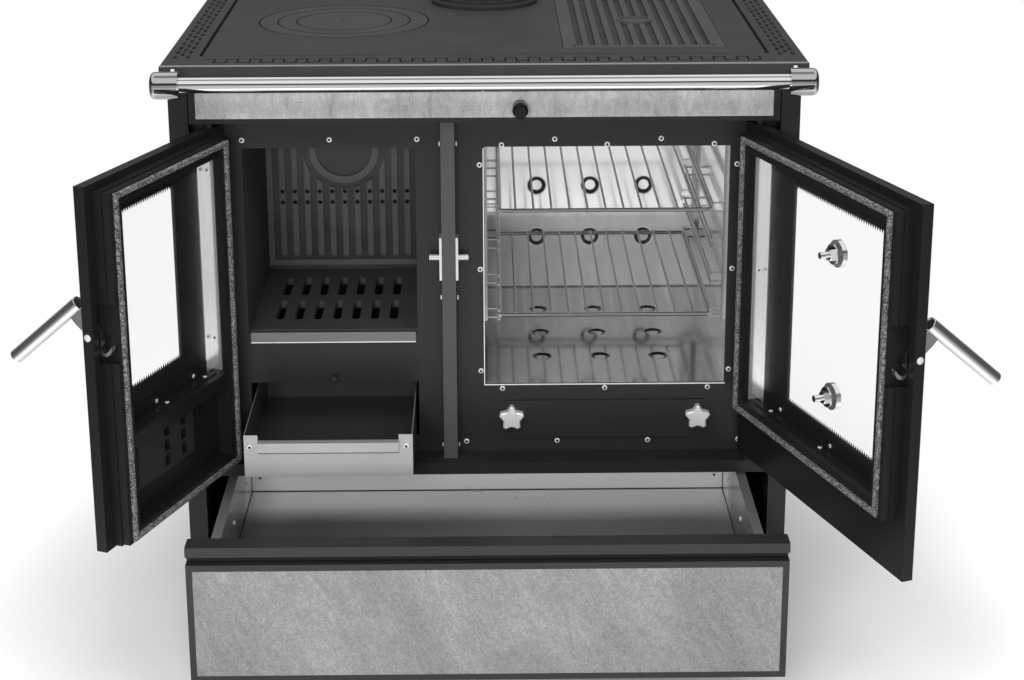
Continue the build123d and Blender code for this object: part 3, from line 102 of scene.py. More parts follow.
class Look(Nodes):
    """A grey material. Its coordinates are object metres."""

    def __init__(self, name, level, rough, metal=0.0, gloss=0.5):
        self.material = bpy.data.materials.new(name)
        self.material.use_nodes = True
        super().__init__(self.material.node_tree)
        self.bsdf = next(n for n in self.tree.nodes if n.type == "BSDF_PRINCIPLED")
        self.set("Base Color", (level, level, level, 1))
        self.set("Roughness", rough)
        self.set("Metallic", metal)
        self.set("Specular IOR Level", gloss)
        self.coords = self.add("ShaderNodeTexCoord").outputs["Object"]

    def set(self, key, value):
        self.bsdf.inputs[key].default_value = value

    def drive(self, key, fac):
        self.link(fac, self.bsdf.inputs[key])

    def scaled(self, scale, tilt):
        """Coordinates turned about Y by tilt and then scaled."""
        source = self.coords
        if tilt:
            turn = self.add("ShaderNodeMapping")
            turn.inputs["Rotation"].default_value = (0, tilt, 0)
            self.link(source, turn.inputs["Vector"])
            source = turn.outputs["Vector"]
        node = self.add("ShaderNodeMapping")
        node.inputs["Scale"].default_value = scale
        self.link(source, node.inputs["Vector"])
        return node.outputs["Vector"]

    def noise(self, scale, detail=4.0, rough=0.5, stretch=(1, 1, 1), distortion=0.0, tilt=0.0):
        node = self.add("ShaderNodeTexNoise")
        node.inputs["Scale"].default_value = scale
        node.inputs["Detail"].default_value = detail
        node.inputs["Roughness"].default_value = rough
        node.inputs["Distortion"].default_value = distortion
        self.link(self.scaled(stretch, tilt), node.inputs["Vector"])
        return node.outputs["Fac"]

    def cells(self, scale):
        """A random value for each cell of a Voronoi pattern."""
        pattern = self.add("ShaderNodeTexVoronoi")
        pattern.inputs["Scale"].default_value = scale
        self.link(self.coords, pattern.inputs["Vector"])
        split = self.add("ShaderNodeSeparateColor")
        self.link(pattern.outputs["Color"], split.inputs["Color"])
        return split.outputs[0]

    def place(self, axis, low, high, to_low, to_high):
        """A value that goes from to_low to to_high between two places along an axis, in mm."""
        node = self.add("ShaderNodeSeparateXYZ")
        self.link(self.coords, node.inputs[0])
        return self.span(node.outputs[axis], low * MM, high * MM, to_low, to_high)

    def grey(self, fac, stops):
        self.drive("Base Color", self.ramp(fac, stops))

    def rough(self, fac, low, high, reach=NOISE_REACH):
        """Roughness that goes from low to high with a noise."""
        self.drive("Roughness", self.span(fac, *reach, low, high))

    def bump(self, fac, strength, distance):
        node = self.add("ShaderNodeBump")
        node.inputs["Strength"].default_value = strength
        node.inputs["Distance"].default_value = distance
        self.link(fac, node.inputs["Height"])
        self.drive("Normal", node.outputs["Normal"])


# Materials
def satin_black(name, level, rough, gloss):
    """Fine-grained black paint."""
    look = Look(name, level, rough, gloss=gloss)
    look.rough(look.noise(9, 3), rough - 0.015, rough + 0.02)
    look.bump(look.noise(1400, 2), 0.12, 0.0003)
    return look.material


def brushed(name, level, rough, stretch, metal):
    """Steel with fine streaks along the axis that is stretched least."""
    look = Look(name, level, rough, metal)
    lines = look.noise(40, 4, 0.6, stretch)
    look.rough(lines, rough - 0.03, rough + 0.03)
    look.grey(lines, ((0.25, level * 0.94), (0.75, min(1, level * 1.05))))
    return look.material


def polished(name, level, rough):
    look = Look(name, level, rough, 1.0)
    look.rough(look.noise(30, 3), rough * 0.7, rough * 1.4)
    return look.material


def plain(name, level, rough, metal=0.0, gloss=0.5):
    look = Look(name, level, rough, metal, gloss)
    look.rough(look.noise(40, 3), rough * 0.85, rough * 1.15)
    return look.material


def oven_sheet(name):
    """Bright liner sheet: mirror-like floor, softer walls, painted shade on the sides of the stamped
    dimples, and a floor painted darker than the walls.
    """
    look = Look(name, 0.9, 0.09, 0.8)
    back_bottom = OVEN_BACK_Y + DIMPLE_DEPTH
    floor_bottom = OVEN_FLOOR_Z - DIMPLE_DEPTH
    back_dimple_shade = look.math(
        "MAXIMUM",
        look.place("Y", OVEN_BACK_Y + 0.2, OVEN_BACK_Y + 0.6, 1, 0.05),
        look.place("Y", back_bottom - 0.3, back_bottom - 0.1, 0, 1),
    )
    floor_dimple_shade = look.math(
        "MAXIMUM",
        look.place("Z", OVEN_FLOOR_Z - 0.2, OVEN_FLOOR_Z - 0.6, 1, 0.05),
        look.place("Z", floor_bottom + 0.3, floor_bottom + 0.1, 0, 1),
    )
    wall_foot = (OVEN_FLOOR_Z + 1, OVEN_FLOOR_Z + 3)
    # Painted shade: dark sides on the stamped dimples, and the floor darker than the walls
    dimple_shade = look.math("MULTIPLY", back_dimple_shade, floor_dimple_shade)
    tone = look.math("MULTIPLY", look.place("Z", *wall_foot, 0.72, 1), dimple_shade)
    look.grey(tone, ((0.0, 0.0), (1.0, 0.95)))
    look.drive("Metallic", look.place("Z", *wall_foot, 0.93, 0.6))
    look.rough(look.noise(60, 3, 0.6, (2, 2, 0.3)), 0.06, 0.12)
    return look.material


def galvanized(name, level, rough):
    """Zinc with flakes."""
    look = Look(name, level, rough, 0.75)
    mixed = look.blend((look.cells(90), 0.35), (look.noise(6, 4), 0.65))
    look.grey(mixed, ((0.2, level * 0.86), (0.8, level * 1.08)))
    look.rough(mixed, rough - 0.06, rough + 0.06, (0.2, 0.8))
    return look.material


def tray_with_painted_light(name, front, rough, depths, back, rim_z=None):
    """Steel with painted light and shade: it turns from front to back tone between two depths, but not above
    a rim.
    """
    look = Look(name, front, rough, 0.7)
    inside = look.place("Y", *depths, 0, 1)
    if rim_z:
        inside = look.math("MULTIPLY", inside, look.place("Z", rim_z - 0.4, rim_z, 1, 0))
    # Painted light and shade: the tone changes from front to back
    look.grey(inside, ((0.0, front), (1.0, back)))
    look.rough(look.noise(5, 3), rough * 0.8, rough * 1.25)
    return look.material


def cast_iron(name, level, rough, grain=0.35, gloss=0.4, painted_groove_shade=None):
    """Cast iron, with painted shade in its grooves where painted_groove_shade gives an axis, two places and
    the tone there.
    """
    look = Look(name, level, rough, gloss=gloss)
    cloud = look.noise(14, 5, 0.6)
    # Painted shade: darker in the grooves, gaps and slots
    tone = look.math("MULTIPLY", cloud, look.place(*painted_groove_shade, 1)) if painted_groove_shade else cloud
    look.grey(tone, ((0.0, 0.001), (0.3, level * 0.88), (0.7, level * 1.12)))
    look.rough(cloud, rough - 0.04, rough + 0.06)
    look.bump(look.noise(900, 3), grain, 0.0004)
    return look.material


def slate(name, level, tilt=0.0, share=0.35):
    """Mottled stone whose veins lean by tilt and make up a share of its pattern."""
    look = Look(name, level, 0.62)
    cloud = look.noise(6, 6, 0.6, (1.6, 1.0, 0.8), 0.5, tilt)
    vein = look.noise(40, 8, 0.72, (1.7, 1.0, 0.6), 1.6, tilt)
    speck = look.noise(420, 5, 0.8)
    pattern = look.blend((cloud, 0.25), (vein, share), (speck, 0.75 - share))
    look.grey(pattern, ((0.4, level * 0.55), (0.47, level * 0.88), (0.53, level * 1.07), (0.6, level * 1.5)))
    look.rough(vein, 0.5, 0.72)
    look.bump(look.blend((vein, 0.7), (speck, 0.3)), 0.35, 0.0012)
    return look.material


def rope(name):
    """Braided fibre seal."""
    look = Look(name, 0.12, 0.9)
    mixed = look.blend((look.cells(620), 0.75), (look.noise(1300, 3, 0.7), 0.25))
    look.grey(mixed, ((0.2, 0.025), (0.5, 0.08), (0.8, 0.22)))
    look.bump(mixed, 0.8, 0.0012)
    return look.material


def clear_glass(name):
    look = Look(name, 0.55, 0.02, gloss=1.0)
    look.set("Alpha", 0.07)
    look.rough(look.noise(5, 2), 0.01, 0.04)
    return look.material


PAINT = satin_black("black_paint", 0.013, 0.38, 0.3)
FACE_PAINT = satin_black("face_paint", 0.014, 0.34, 0.32)
BAR_PAINT = satin_black("bar_paint", 0.045, 0.4, 0.45)
FRONT_PAINT = satin_black("front_paint", 0.02, 0.38, 0.36)
DOOR_PAINT = satin_black("door_paint", 0.008, 0.34, 0.24)
FRAME_IRON = cast_iron("cooktop_iron", 0.032, 0.62, 0.2, 0.12)
# The hob, griddle, ring and back casting irons get painted shade in their grooves, gaps and slots
COOKTOP = cast_iron("hob_iron", 0.032, 0.62, 0.2, 0.12, ("Z", 856.8, 858.6, 0.1))
GRIDDLE = cast_iron("griddle_iron", 0.044, 0.6, 0.2, 0.16, ("Z", 857.2, 859.0, 0.35))
RING_IRON = cast_iron("ring_iron", 0.037, 0.6, 0.2, 0.14, ("Z", 857.5, 859.2, 0.1))
DARK_IRON = cast_iron("dark_iron", 0.016, 0.6)
CASTING = cast_iron("back_casting_iron", 0.07, 0.4, 0.15, 0.6, ("Y", 350.6, 347.6, 0.3))
HEARTH_IRON = cast_iron("hearth_iron", 0.04, 0.55, 0.4)
STRIP_SLATE = slate("mottled_stone", 0.29)
DRAWER_SLATE = slate("drawer_stone", 0.19, 0.5, 0.22)
CHROME = polished("chrome", 0.8, 0.05)
# Brackets: a darker copy of the chrome, painted shade for their dark reflections
SHADED_BRACKET_CHROME = polished("bracket_chrome_painted_shade", 0.5, 0.07)
# Rack wires: a darker copy of the chrome, painted shade for their dark reflections
SHADED_WIRE_CHROME = polished("wire_chrome_painted_shade", 0.33, 0.1)
LEVER = polished("lever_steel", 0.55, 0.2)
OVEN_STEEL = oven_sheet("oven_steel")
CLIP_STEEL = brushed("brushed_steel", 0.82, 0.15, (24, 24, 0.8), 0.85)
SILL = brushed("sill_steel", 0.2, 0.3, (0.8, 20, 20), 1.0)
# Pan: painted shade, darker inside. Drawer: painted light and shade, dark at the front and bright towards
# the back
PAN_ZINC = tray_with_painted_light("pan_steel", 0.37, 0.3, (-103, -101), 0.1, PAN_RIM_Z)
DRAWER_ZINC = tray_with_painted_light("drawer_steel", 0.33, 0.24, (45, 105), 1.0)
ZINC = galvanized("galvanized", 0.62, 0.36)
ROPE = rope("rope_seal")
GLASS = clear_glass("stove_glass")
STAR = plain("star_knob_metal", 0.84, 0.22, 0.6)
KNOB = plain("black_knob", 0.003, 0.16, gloss=0.3)
PRINT = plain("printed_border", 0.008, 0.35)
# Painted shade for screw sockets, casing slots and the drawer's inner creases
RECESS_SHADE = plain("painted_recess_shade", 0.006, 0.7)
SCREW = plain("screw_steel", 0.8, 0.25, 0.55)
PLATED = plain("plated_steel", 0.82, 0.3, 0.8)
GROOVE = plain("groove_shadow", 0.003, 0.9, gloss=0.05)
# Fret lines: the pattern is real, its dark tone is painted shade of the grooves
FRET_GROOVE_SHADE = plain("engraved_line_shade", 0.005, 0.8, gloss=0.1)
# Painted highlight: a lighter iron for the cooktop's front bevel
BEVEL_HIGHLIGHT = plain("painted_bevel_highlight", 0.12, 0.5)
# Bright steel for cut edges, strip ends and rivets, also used as a painted highlight on the sill's lip
BRIGHT_EDGE_AND_HIGHLIGHT = plain("cut_edge_steel_and_highlight", 0.8, 0.35, 0.6)

LOOKS = {
    "side_panel_left": PAINT,
    "side_panel_right": PAINT,
    "back_panel": PAINT,
    "base_tray": PAINT,
    "plinth": PAINT,
    "bottom_ledge": PAINT,
    "face_plate": FACE_PAINT,
    "lintel": PAINT,
    "stone_strip": STRIP_SLATE,
    "middle_bar": BAR_PAINT,
    "latch_strikers": PLATED,
    "hinge_pins": PAINT,
    "towel_rail": CHROME,
    "rail_brackets": SHADED_BRACKET_CHROME,
    "top_frame": FRAME_IRON,
    "hob_plate": COOKTOP,
    "ring_outer": RING_IRON,
    "ring_inner": RING_IRON,
    "ring_cap": RING_IRON,
    "griddle_plate": GRIDDLE,
    "flue_collar": DARK_IRON,
    "firebox_casing": HEARTH_IRON,
    "firebox_liners": HEARTH_IRON,
    "back_casting": CASTING,
    "fire_grate": HEARTH_IRON,
    "sill_strip": SILL,
    "ash_box": PAINT,
    "ash_pan": PAN_ZINC,
    "smoke_chamber": PAINT,
    "damper_rod": SCREW,
    "damper_knob": KNOB,
    "damper_flap": DARK_IRON,
    "oven_liner": OVEN_STEEL,
    "rack_guides": SHADED_WIRE_CHROME,
    "oven_rack_upper": SHADED_WIRE_CHROME,
    "oven_rack_lower": SHADED_WIRE_CHROME,
    "cleaning_cover": FACE_PAINT,
    "star_knob_left": STAR,
    "star_knob_right": STAR,
    "drawer_front": FRONT_PAINT,
    "drawer_stone_panel": DRAWER_SLATE,
    "drawer_box": DRAWER_ZINC,
    "cabinet_runners": ZINC,
    "firebox_door_panel": DOOR_PAINT,
    "firebox_door_casing": DOOR_PAINT,
    "firebox_door_glass": GLASS,
    "firebox_door_gasket": ROPE,
    "firebox_glass_clips": CLIP_STEEL,
    "firebox_handle_lever": LEVER,
    "firebox_handle_grip": CHROME,
    "air_register": DARK_IRON,
    "oven_door_panel": DOOR_PAINT,
    "oven_door_casing": DOOR_PAINT,
    "oven_door_glass": GLASS,
    "oven_door_gasket": ROPE,
    "oven_glass_clips": CLIP_STEEL,
    "oven_thermometer": CHROME,
    "oven_vent_valve": CHROME,
    "oven_handle_lever": LEVER,
    "oven_handle_grip": CHROME,
}
for node, look in LOOKS.items():
    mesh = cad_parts[node].data
    mesh.materials.clear()
    mesh.materials.append(look)


# Tools for the pieces, which are built in millimetres
BOX_FACES = ((0, 1, 3, 2), (4, 6, 7, 5), (0, 4, 5, 1), (2, 3, 7, 6), (0, 2, 6, 4), (1, 5, 7, 3))
FORWARD = (0, -1, 0)
UP = (0, 0, 1)


def make_piece(name, verts, faces, look, body, smooth=False):
    mesh = bpy.data.meshes.new(name)
    mesh.from_pydata([Vector(v) * MM for v in verts], [], faces)
    mesh.update()
    mesh.materials.append(look)
    if smooth:
        mesh.shade_smooth()
    obj = bpy.data.objects.new(name, mesh)
    bpy.context.scene.collection.objects.link(obj)
    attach(obj, body)
    return obj


class Builder:
    """Collects boxes and turned forms for one piece."""

    def __init__(self):
        self.verts = []
        self.faces = []
        self.sockets = []

    def box(self, xs, ys, zs, door=None):
        """A box, which has a door's own coordinates where one is given."""
        start = len(self.verts)
        for x in xs:
            for y in ys:
                for z in zs:
                    self.verts.append(door.at(x, y, z) if door else (x, y, z))
        self.faces.extend([start + i for i in face] for face in BOX_FACES)

    def turned(self, base, axis, profile, sides=18):
        """Turns (radius, height) pairs about an axis that starts at base."""
        axis = Vector(axis).normalized()
        across = axis.orthogonal().normalized()
        other = axis.cross(across)
        rings = []
        for radius, height in profile:
            ring = []
            for i in range(sides):
                a = 2 * pi * i / sides
                point = Vector(base) + axis * height + (across * cos(a) + other * sin(a)) * radius
                ring.append(len(self.verts))
                self.verts.append(tuple(point))
            rings.append(ring)
        for low, high in zip(rings, rings[1:]):
            for i in range(sides):
                j = (i + 1) % sides
                self.faces.append([low[i], low[j], high[j], high[i]])
        self.faces.append(rings[-1])
        self.faces.append(rings[0][::-1])

    def screw(self, base, axis, radius):
        """Pan-head screw with an open socket, whose faces are kept for painted shade."""
        height = radius * 0.5
        rim = radius * 0.5
        bottom = height * 0.3
        head = ((radius, 0), (radius, height * 0.5), (radius * 0.82, height), (rim, height))
        self.turned(base, axis, head)
        top_cap = -2
        self.faces.pop(top_cap)
        start = len(self.faces)
        self.turned(base, axis, ((rim, height), (rim * 0.9, bottom), (rim * 0.2, bottom)))
        mouth_cap = -1
        self.faces.pop(mouth_cap)
        self.sockets.extend(range(start, len(self.faces)))

    def make(self, name, look, body, smooth=False):
        obj = make_piece(name, self.verts, self.faces, look, body, smooth)
        if self.sockets:
            # The sockets get painted shade
            obj.data.materials.append(RECESS_SHADE)
            for index in self.sockets:
                obj.data.polygons[index].material_index = 1


class Door:
    """The same planes as the CAD door: w from the hinge axis, depth behind the outer face."""

    def __init__(self, tag, side, free_x, angle):
        turn = radians(angle)
        self.tag = tag
        self.body = f"{tag}_door"
        self.axis = Vector((-side * HINGE_X, HINGE_Y, 0))
        self.width = abs(free_x + side * HINGE_X)
        self.along = Vector((side * cos(turn), -sin(turn), 0))
        self.outward = Vector((-side * sin(turn), -cos(turn), 0))

    def at(self, w, depth, z):
        return tuple(self.axis + self.along * w + self.outward * (HINGE_Y - depth) + Vector((0, 0, z)))


FIREBOX_DOOR = Door("firebox", 1, -53.95, 112)
OVEN_DOOR = Door("oven", -1, -51.45, 110)


# Screws of the face plate: above, beside and below the oven, above the firebox, along the foot
FACE_SCREW_R = 4.0
FACE_SCREWS = (
    (23, 733), (98, 741), (172, 733), (248, 741), (323, 733),
    (-8.2, 704), (-8.2, 549), (-8.2, 394), (356, 703), (353, 548), (352, 394),
    (23, 366.5), (172, 366.5), (322, 366.5),
    (-342, 742), (-219, 742), (-96, 742),
    (-30, 284), (103, 284), (236, 284), (369, 284),
)


def face_screws():
    screws = Builder()
    for x, z in FACE_SCREWS:
        screws.screw((x, FACE_Y, z), FORWARD, FACE_SCREW_R)
    screws.make("face_screws", SCREW, "hearth", True)


# Printed border on both sides of the glass, with a toothed inner edge
GLASS_DEPTHS = (7.0, 11.0)
PRINT_T = 0.04
TOOTH = 5.6


def glass_border(door, side, depth, ws, zs, clear_w, clear_z):
    """A frame between the glass's edges (ws, zs) and its clear field."""
    verts, faces = [], []

    def patch(points):
        start = len(verts)
        verts.extend(door.at(w, depth, z) for w, z in points)
        faces.append(list(range(start, start + len(points))))

    for (w0, w1), (z0, z1) in (
        (ws, (zs[0], clear_z[0])),
        (ws, (clear_z[1], zs[1])),
        ((ws[0], clear_w[0]), clear_z),
        ((clear_w[1], ws[1]), clear_z),
    ):
        patch(((w0, z0), (w1, z0), (w1, z1), (w0, z1)))
    for z, up in ((clear_z[0], 1), (clear_z[1], -1)):
        for i in range(round((clear_w[1] - clear_w[0]) / TOOTH)):
            w = clear_w[0] + TOOTH * i
            patch(((w, z), (w + TOOTH, z), (w + TOOTH / 2, z + up * TOOTH)))
    make_piece(f"{door.tag}_glass_border_{side}", verts, faces, PRINT, door.body)


def glass_borders():
    outer, inner = GLASS_DEPTHS
    for side, depth in (("outer", outer - PRINT_T), ("inner", inner + PRINT_T)):
        glass_border(FIREBOX_DOOR, side, depth, (21.9, 282.7), (419.9, 741.1), (108, 278), (468, 716))
        glass_border(OVEN_DOOR, side, depth, (21.9, 388.1), (368.9, 741.1), (110, 383), (398, 712))


# Fret pattern along the front of the cooktop, drawn as dark lines of painted shade for its engraved grooves
FRET_COUNT = 24
FRET_START_X = -386.0
FRET_PERIOD = 32.0
FRET_LINE = 2.6
FRET_NEAR_Y = 10.0
FRET_FAR_Y = 31.0


def cooktop_fret():
    fret = Builder()
    heights = (TOP_Z - 0.6, TOP_Z + 0.15)
    near = (FRET_NEAR_Y, FRET_NEAR_Y + FRET_LINE)
    far = (FRET_FAR_Y, FRET_FAR_Y + FRET_LINE)
    both = (FRET_NEAR_Y, FRET_FAR_Y + FRET_LINE)
    for i in range(FRET_COUNT):
        x = FRET_START_X + FRET_PERIOD * i
        bend = x + 0.4 * FRET_PERIOD
        end = x + FRET_PERIOD
        fret.box((x, bend), far, heights)
        fret.box((bend, bend + FRET_LINE), both, heights)
        fret.box((bend, end), near, heights)
        fret.box((end - FRET_LINE, end), both, heights)
    fret.make("cooktop_fret", FRET_GROOVE_SHADE, "hearth")


# Painted shadow over the joints round the cooking rings, each on the outer of its two neighbours
RINGS_X = -212
RINGS_Y = 308
JOINT_W = 1.5
JOINT_SIDES = 72
JOINTS = ((127.0, "hearth", "outer"), (99.2, "outer_ring", "middle"), (71.1, "inner_ring", "inner"))


def ring_joints():
    for radius, body, tag in JOINTS:
        verts, faces = [], []
        for i in range(JOINT_SIDES):
            a = 2 * pi * i / JOINT_SIDES
            for r in (radius, radius + JOINT_W):
                verts.append((RINGS_X + r * cos(a), RINGS_Y + r * sin(a), TOP_Z + 0.08))
            j = (i + 1) % JOINT_SIDES
            faces.append((2 * i, 2 * i + 1, 2 * j + 1, 2 * j))
        make_piece(f"ring_joint_{tag}", verts, faces, GROOVE, body)


# Two pips on the griddle
def griddle_pips():
    pips = Builder()
    for x in (128, 326):
        pips.turned((x, 112, TOP_Z), UP, ((3.2, 0), (2.8, 1.2), (1.4, 1.9)), 14)
    pips.make("griddle_pips", COOKTOP, "griddle", True)


# Screws inside the wood drawer, and painted shade along its inner creases
DRAWER_HALF_W = 363.0
DRAWER_BACK_Y = 160.0
DRAWER_FLOOR_Z = 153.0
DRAWER_SCREW_R = 3.6
CREASE_SHADE_W = 0.8
CREASE_SHADE_FRONT_Y = -200.0
CREASE_SHADE_TOP_Z = 242.0


def drawer_screws():
    screws = Builder()
    for side in (-1, 1):
        screws.screw((side * 349.5, DRAWER_BACK_Y, 176), FORWARD, DRAWER_SCREW_R)
        for y, z in ((86, 198.6), (-58, 202.7)):
            screws.screw((side * DRAWER_HALF_W, y, z), (-side, 0, 0), DRAWER_SCREW_R)
    screws.make("drawer_screws", SCREW, "wood_drawer", True)


def drawer_crease_shade():
    foot = (DRAWER_FLOOR_Z, DRAWER_FLOOR_Z + 1.2)
    back = (DRAWER_BACK_Y - CREASE_SHADE_W, DRAWER_BACK_Y)
    # Painted shade: dark strips where the floor meets the back and sides, and where the back meets the sides
    crease_shade = Builder()
    crease_shade.box((-DRAWER_HALF_W, DRAWER_HALF_W), back, foot)
    for side in (-1, 1):
        across = sorted((side * (DRAWER_HALF_W - CREASE_SHADE_W), side * DRAWER_HALF_W))
        crease_shade.box(across, (CREASE_SHADE_FRONT_Y, DRAWER_BACK_Y), foot)
        crease_shade.box(across, back, (DRAWER_FLOOR_Z + 1, CREASE_SHADE_TOP_Z))
    crease_shade.make("drawer_crease_shade", RECESS_SHADE, "wood_drawer")


# Screws on the ash pan's ears
def ash_pan_screws():
    screws = Builder()
    for x in (-330.5, -112.5):
        screws.screw((x, -104, 339), FORWARD, 4.2)
    screws.make("ash_pan_screws", SCREW, "ash_drawer", True)


# Screws and bright strip ends of the doors' inner casings, and their slots as dark marks of painted shade
CASING_SLOTS = 9
CASING_SLOT_L = 12
CASING_SLOT_W = 60
CASING_SLOT_MARGINS = 110


def casing_trim(door, low_z, clip_z, leg_w, foot_w):
    """Screws stand on the hinge side's clip (clip_z), and on the lower strip's leg and foot."""
    screws = Builder()
    for z in clip_z:
        screws.screw(door.at(27.4, 18, z), door.along, 3.2)
    for w in leg_w:
        screws.screw(door.at(w, 20, low_z + 1.4), UP, 3.0)
    for w in foot_w:
        screws.screw(door.at(w, 12.4, low_z + 8), -door.outward, 3.0)
    screws.make(f"{door.tag}_casing_screws", SCREW, door.body, True)
    strip_end = Builder()
    strip_end.box((46, 82), (12.4, 12.9), (724, 735), door)
    strip_end.make(f"{door.tag}_strip_end", BRIGHT_EDGE_AND_HIGHLIGHT, door.body)
    # Slots: painted shade on the casing's top
    slots = Builder()
    for i in range(CASING_SLOTS):
        w = CASING_SLOT_W + i * (door.width - CASING_SLOT_MARGINS) / CASING_SLOTS
        slots.box((w, w + CASING_SLOT_L), (19.5, 22.5), (CASING_TOP_Z - 0.4, CASING_TOP_Z + 0.15), door)
    slots.make(f"{door.tag}_casing_slots", RECESS_SHADE, door.body)


# Small air knob above the ash opening
def ash_air_knob():
    knob = Builder()
    profile = ((3.4, 0), (3.4, 10), (5.2, 10), (5.2, 13), (4.0, 14.5))
    knob.turned((-221, FACE_Y, 386), FORWARD, profile)
    knob.make("ash_air_knob", DARK_IRON, "hearth", True)


# Screws on the rail's brackets
def bracket_screws():
    screws = Builder()
    for side in (-1, 1):
        screws.turned((side * 421, -38, 857.5), (0, 0.3, 1), ((3.2, 0), (3.2, 3.2), (2.2, 4.2)), 16)
    screws.make("bracket_screws", SCREW, "hearth", True)


# Bright cut edges of the oven opening, below and on the left, and a painted highlight along the lip of the
# firebox sill
def oven_rim_edges():
    left_x = -3.6
    right_x = 347.6
    rims = Builder()
    rims.box((left_x, right_x), (FACE_Y - 0.5, FACE_Y + 0.1), (OVEN_FLOOR_Z - 1.6, OVEN_FLOOR_Z))
    rims.box((left_x, left_x + 1.2), (FACE_Y - 0.4, FACE_Y + 0.1), (OVEN_FLOOR_Z, 728))
    rims.make("oven_rim_edges", BRIGHT_EDGE_AND_HIGHLIGHT, "hearth")


def sill_lip():
    # Painted highlight: a bright strip on the sill's lower edge
    lip = Builder()
    lip.box((-340, -102), (39.8, 40.1), (440, 441.4))
    lip.make("sill_lip", BRIGHT_EDGE_AND_HIGHLIGHT, "hearth")


# Painted highlight on the bevel along the cooktop's front edge
BEVEL_HIGHLIGHT_HALF_W = 443
BEVEL_HIGHLIGHT_LOW = (-5.9, 857.9)
BEVEL_HIGHLIGHT_HIGH = (-4.0, 859.8)


def cooktop_painted_bevel_highlight():
    # Painted highlight: a lighter strip lying on the bevel
    verts = [
        (-BEVEL_HIGHLIGHT_HALF_W, *BEVEL_HIGHLIGHT_LOW),
        (BEVEL_HIGHLIGHT_HALF_W, *BEVEL_HIGHLIGHT_LOW),
        (BEVEL_HIGHLIGHT_HALF_W, *BEVEL_HIGHLIGHT_HIGH),
        (-BEVEL_HIGHLIGHT_HALF_W, *BEVEL_HIGHLIGHT_HIGH),
    ]
    make_piece("cooktop_painted_bevel_highlight", verts, [(0, 1, 2, 3)], BEVEL_HIGHLIGHT, "hearth")


# Rivets along both sides of the middle bar
def middle_bar_rivets():
    rivets = Builder()
    for x in (-65.4, -41.4):
        for z in (735, 507, 279):
            rivets.box((x, x + 1.6), (FACE_Y - 0.8, FACE_Y + 0.1), (z - 3, z + 3))
    rivets.make("middle_bar_rivets", BRIGHT_EDGE_AND_HIGHLIGHT, "hearth")


# Flat heads of the lever pivots, which fit in the gap between the closed doors
def pivot_head(door):
    head = Builder()
    profile = ((4.4, 0), (4.4, 0.2), (3.6, 0.4))
    head.turned(door.at(door.width + 0.7, HINGE_Y, 571), door.along, profile, 20)
    head.make(f"{door.tag}_pivot_head", SCREW, f"{door.tag}_handle", True)


face_screws()
glass_borders()
cooktop_fret()
ring_joints()
griddle_pips()
drawer_screws()
drawer_crease_shade()
ash_pan_screws()
casing_trim(FIREBOX_DOOR, 424.0, (716, 472), (64, 167, 269), (82, 181))
casing_trim(OVEN_DOOR, 373.0, (728, 566), (82, 222, 365), (96, 236))
ash_air_knob()
bracket_screws()
oven_rim_edges()
sill_lip()
cooktop_painted_bevel_highlight()
middle_bar_rivets()
pivot_head(FIREBOX_DOOR)
pivot_head(OVEN_DOOR)


# Floor, in metres: white, with a painted shadow that makes it greyer near the object, fading into the white
# background
def floor_look(name):
    look = Look(name, 0.8, 0.8, gloss=0.1)
    length = look.add("ShaderNodeVectorMath", operation="LENGTH")
    look.link(look.coords, length.inputs[0])
    distance = length.outputs["Value"]
    # Painted shadow: grey near the object, white farther off
    look.grey(look.span(distance, 0.5, 1.0, 0, 1, "SMOOTHSTEP"), ((0.0, 0.62), (1.0, 1.0)))
    look.drive("Alpha", look.span(distance, 0.7, 1.6, 1.0, 0.0, "SMOOTHSTEP"))
    return look.material


def studio_floor():
    half, z = 9, -0.0005
    corners = [(-half, -half, z), (half, -half, z), (half, half, z), (-half, half, z)]
    mesh = bpy.data.meshes.new("floor")
    mesh.from_pydata(corners, [], [tuple(range(len(corners)))])
    mesh.materials.append(floor_look("floor_white"))
    obj = bpy.data.objects.new("floor", mesh)
    bpy.context.scene.collection.objects.link(obj)


# Lamps, in metres and watts, hidden from mirror-like surfaces
def area_light(name, place, target, size, power):
    data = bpy.data.lights.new(name, "AREA")
    data.shape = "RECTANGLE"
    data.size, data.size_y = size
    data.energy = power
    light = bpy.data.objects.new(name, data)
    bpy.context.scene.collection.objects.link(light)
    light.visible_glossy = False
    light.location = place
    light.rotation_mode = "QUATERNION"
    light.rotation_quaternion = (Vector(target) - Vector(place)).to_track_quat("-Z", "Y")


# World: white behind the object, and grey bands by height as soft light and in the metal
SKY_BANDS = (
    (0.0, 0.6), (0.34, 0.6), (0.37, 0.9), (0.4, 0.9), (0.44, 0.6), (0.6, 0.5), (0.615, 0.05), (0.75, 0.07),
    (0.765, 1.0), (0.975, 1.0), (0.99, 0.35),
)
SKY_STRENGTH = 0.95


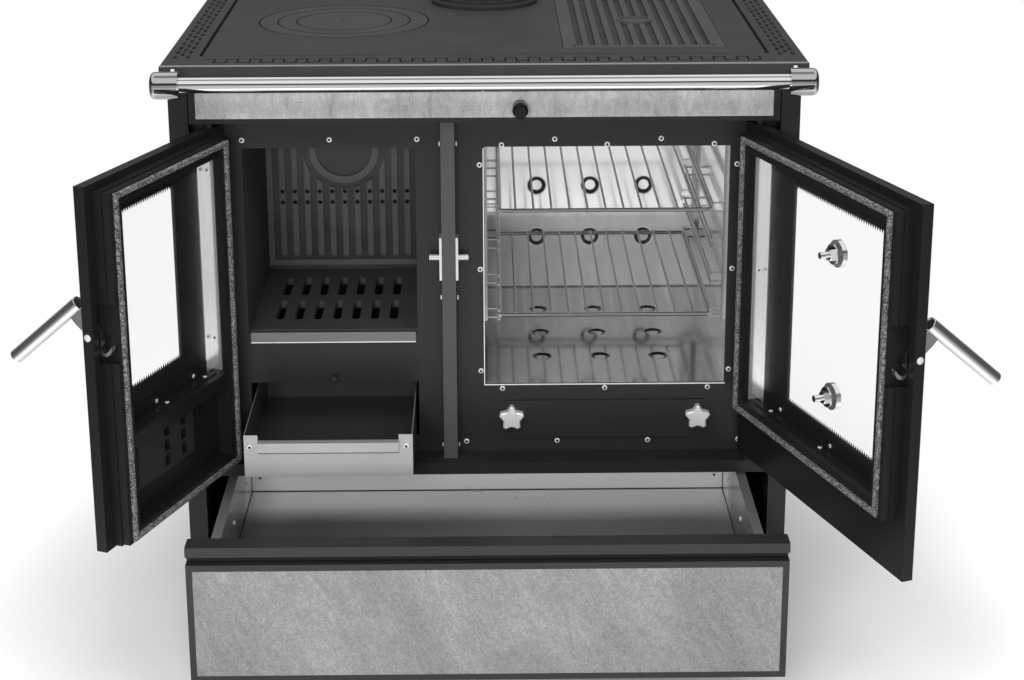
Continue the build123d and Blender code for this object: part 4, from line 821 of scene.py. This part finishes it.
def studio_world():
    world = bpy.data.worlds.new("studio")
    bpy.context.scene.world = world
    world.use_nodes = True
    sky = Nodes(world.node_tree)
    sky.tree.nodes.clear()
    direction = sky.add("ShaderNodeSeparateXYZ")
    sky.link(sky.add("ShaderNodeTexCoord").outputs["Generated"], direction.inputs["Vector"])
    height = sky.math("MULTIPLY_ADD", direction.outputs["Z"], 0.5, 0.5)
    aside = sky.math("ABSOLUTE", direction.outputs["X"])
    shade = sky.add("ShaderNodeVectorMath", operation="SCALE")
    sky.link(sky.ramp(height, SKY_BANDS), shade.inputs[0])
    sky.link(sky.span(aside, 0.62, 0.86, 1.0, 0.2), shade.inputs["Scale"])
    soft = sky.add("ShaderNodeBackground")
    soft.inputs["Strength"].default_value = SKY_STRENGTH
    sky.link(shade.outputs[0], soft.inputs["Color"])
    white = sky.add("ShaderNodeBackground")
    white.inputs["Strength"].default_value = 1.0
    white.inputs["Color"].default_value = (1, 1, 1, 1)
    mix = sky.add("ShaderNodeMixShader")
    sky.link(sky.add("ShaderNodeLightPath").outputs["Is Camera Ray"], mix.inputs[0])
    sky.link(soft.outputs[0], mix.inputs[1])
    sky.link(white.outputs[0], mix.inputs[2])
    sky.link(mix.outputs[0], sky.add("ShaderNodeOutputWorld").inputs["Surface"])


# Camera, fitted to the photograph
PHOTO_W_PX = 1024
FOCAL_PX = 2020.1
SENSOR = 36.0
SHIFT = (0.0053, -0.12)
CAMERA_AT = (0.0012, -2.7118, 1.4428)
YAW, PITCH, ROLL = -0.0104, 0.288, 0.0038


def photo_camera():
    data = bpy.data.cameras.new("photo_camera")
    camera = bpy.data.objects.new("photo_camera", data)
    bpy.context.scene.collection.objects.link(camera)
    bpy.context.scene.camera = camera
    data.sensor_width = SENSOR
    data.lens = FOCAL_PX / PHOTO_W_PX * SENSOR
    data.shift_x, data.shift_y = SHIFT
    camera.matrix_world = (
        Matrix.Translation(CAMERA_AT)
        @ Matrix.Rotation(YAW, 4, "Z")
        @ Matrix.Rotation(pi / 2 - PITCH, 4, "X")
        @ Matrix.Rotation(-ROLL, 4, "Z")
    )


studio_floor()
area_light("key", (-1.5, -2.4, 3.1), (0, 0.1, 0.5), (1.8, 1.0), 52)
area_light("fill", (1.9, -2.2, 2.9), (0, 0.1, 0.5), (1.6, 1.0), 32)
area_light("top", (0, 0.4, 3.0), (0, 0.2, 0.8), (2.6, 1.8), 32)
area_light("front", (-0.35, -3.3, 1.5), (0, 0.15, 0.25), (1.6, 0.5), 100)
studio_world()
photo_camera()
bpy.context.scene.view_settings.view_transform = "Standard"
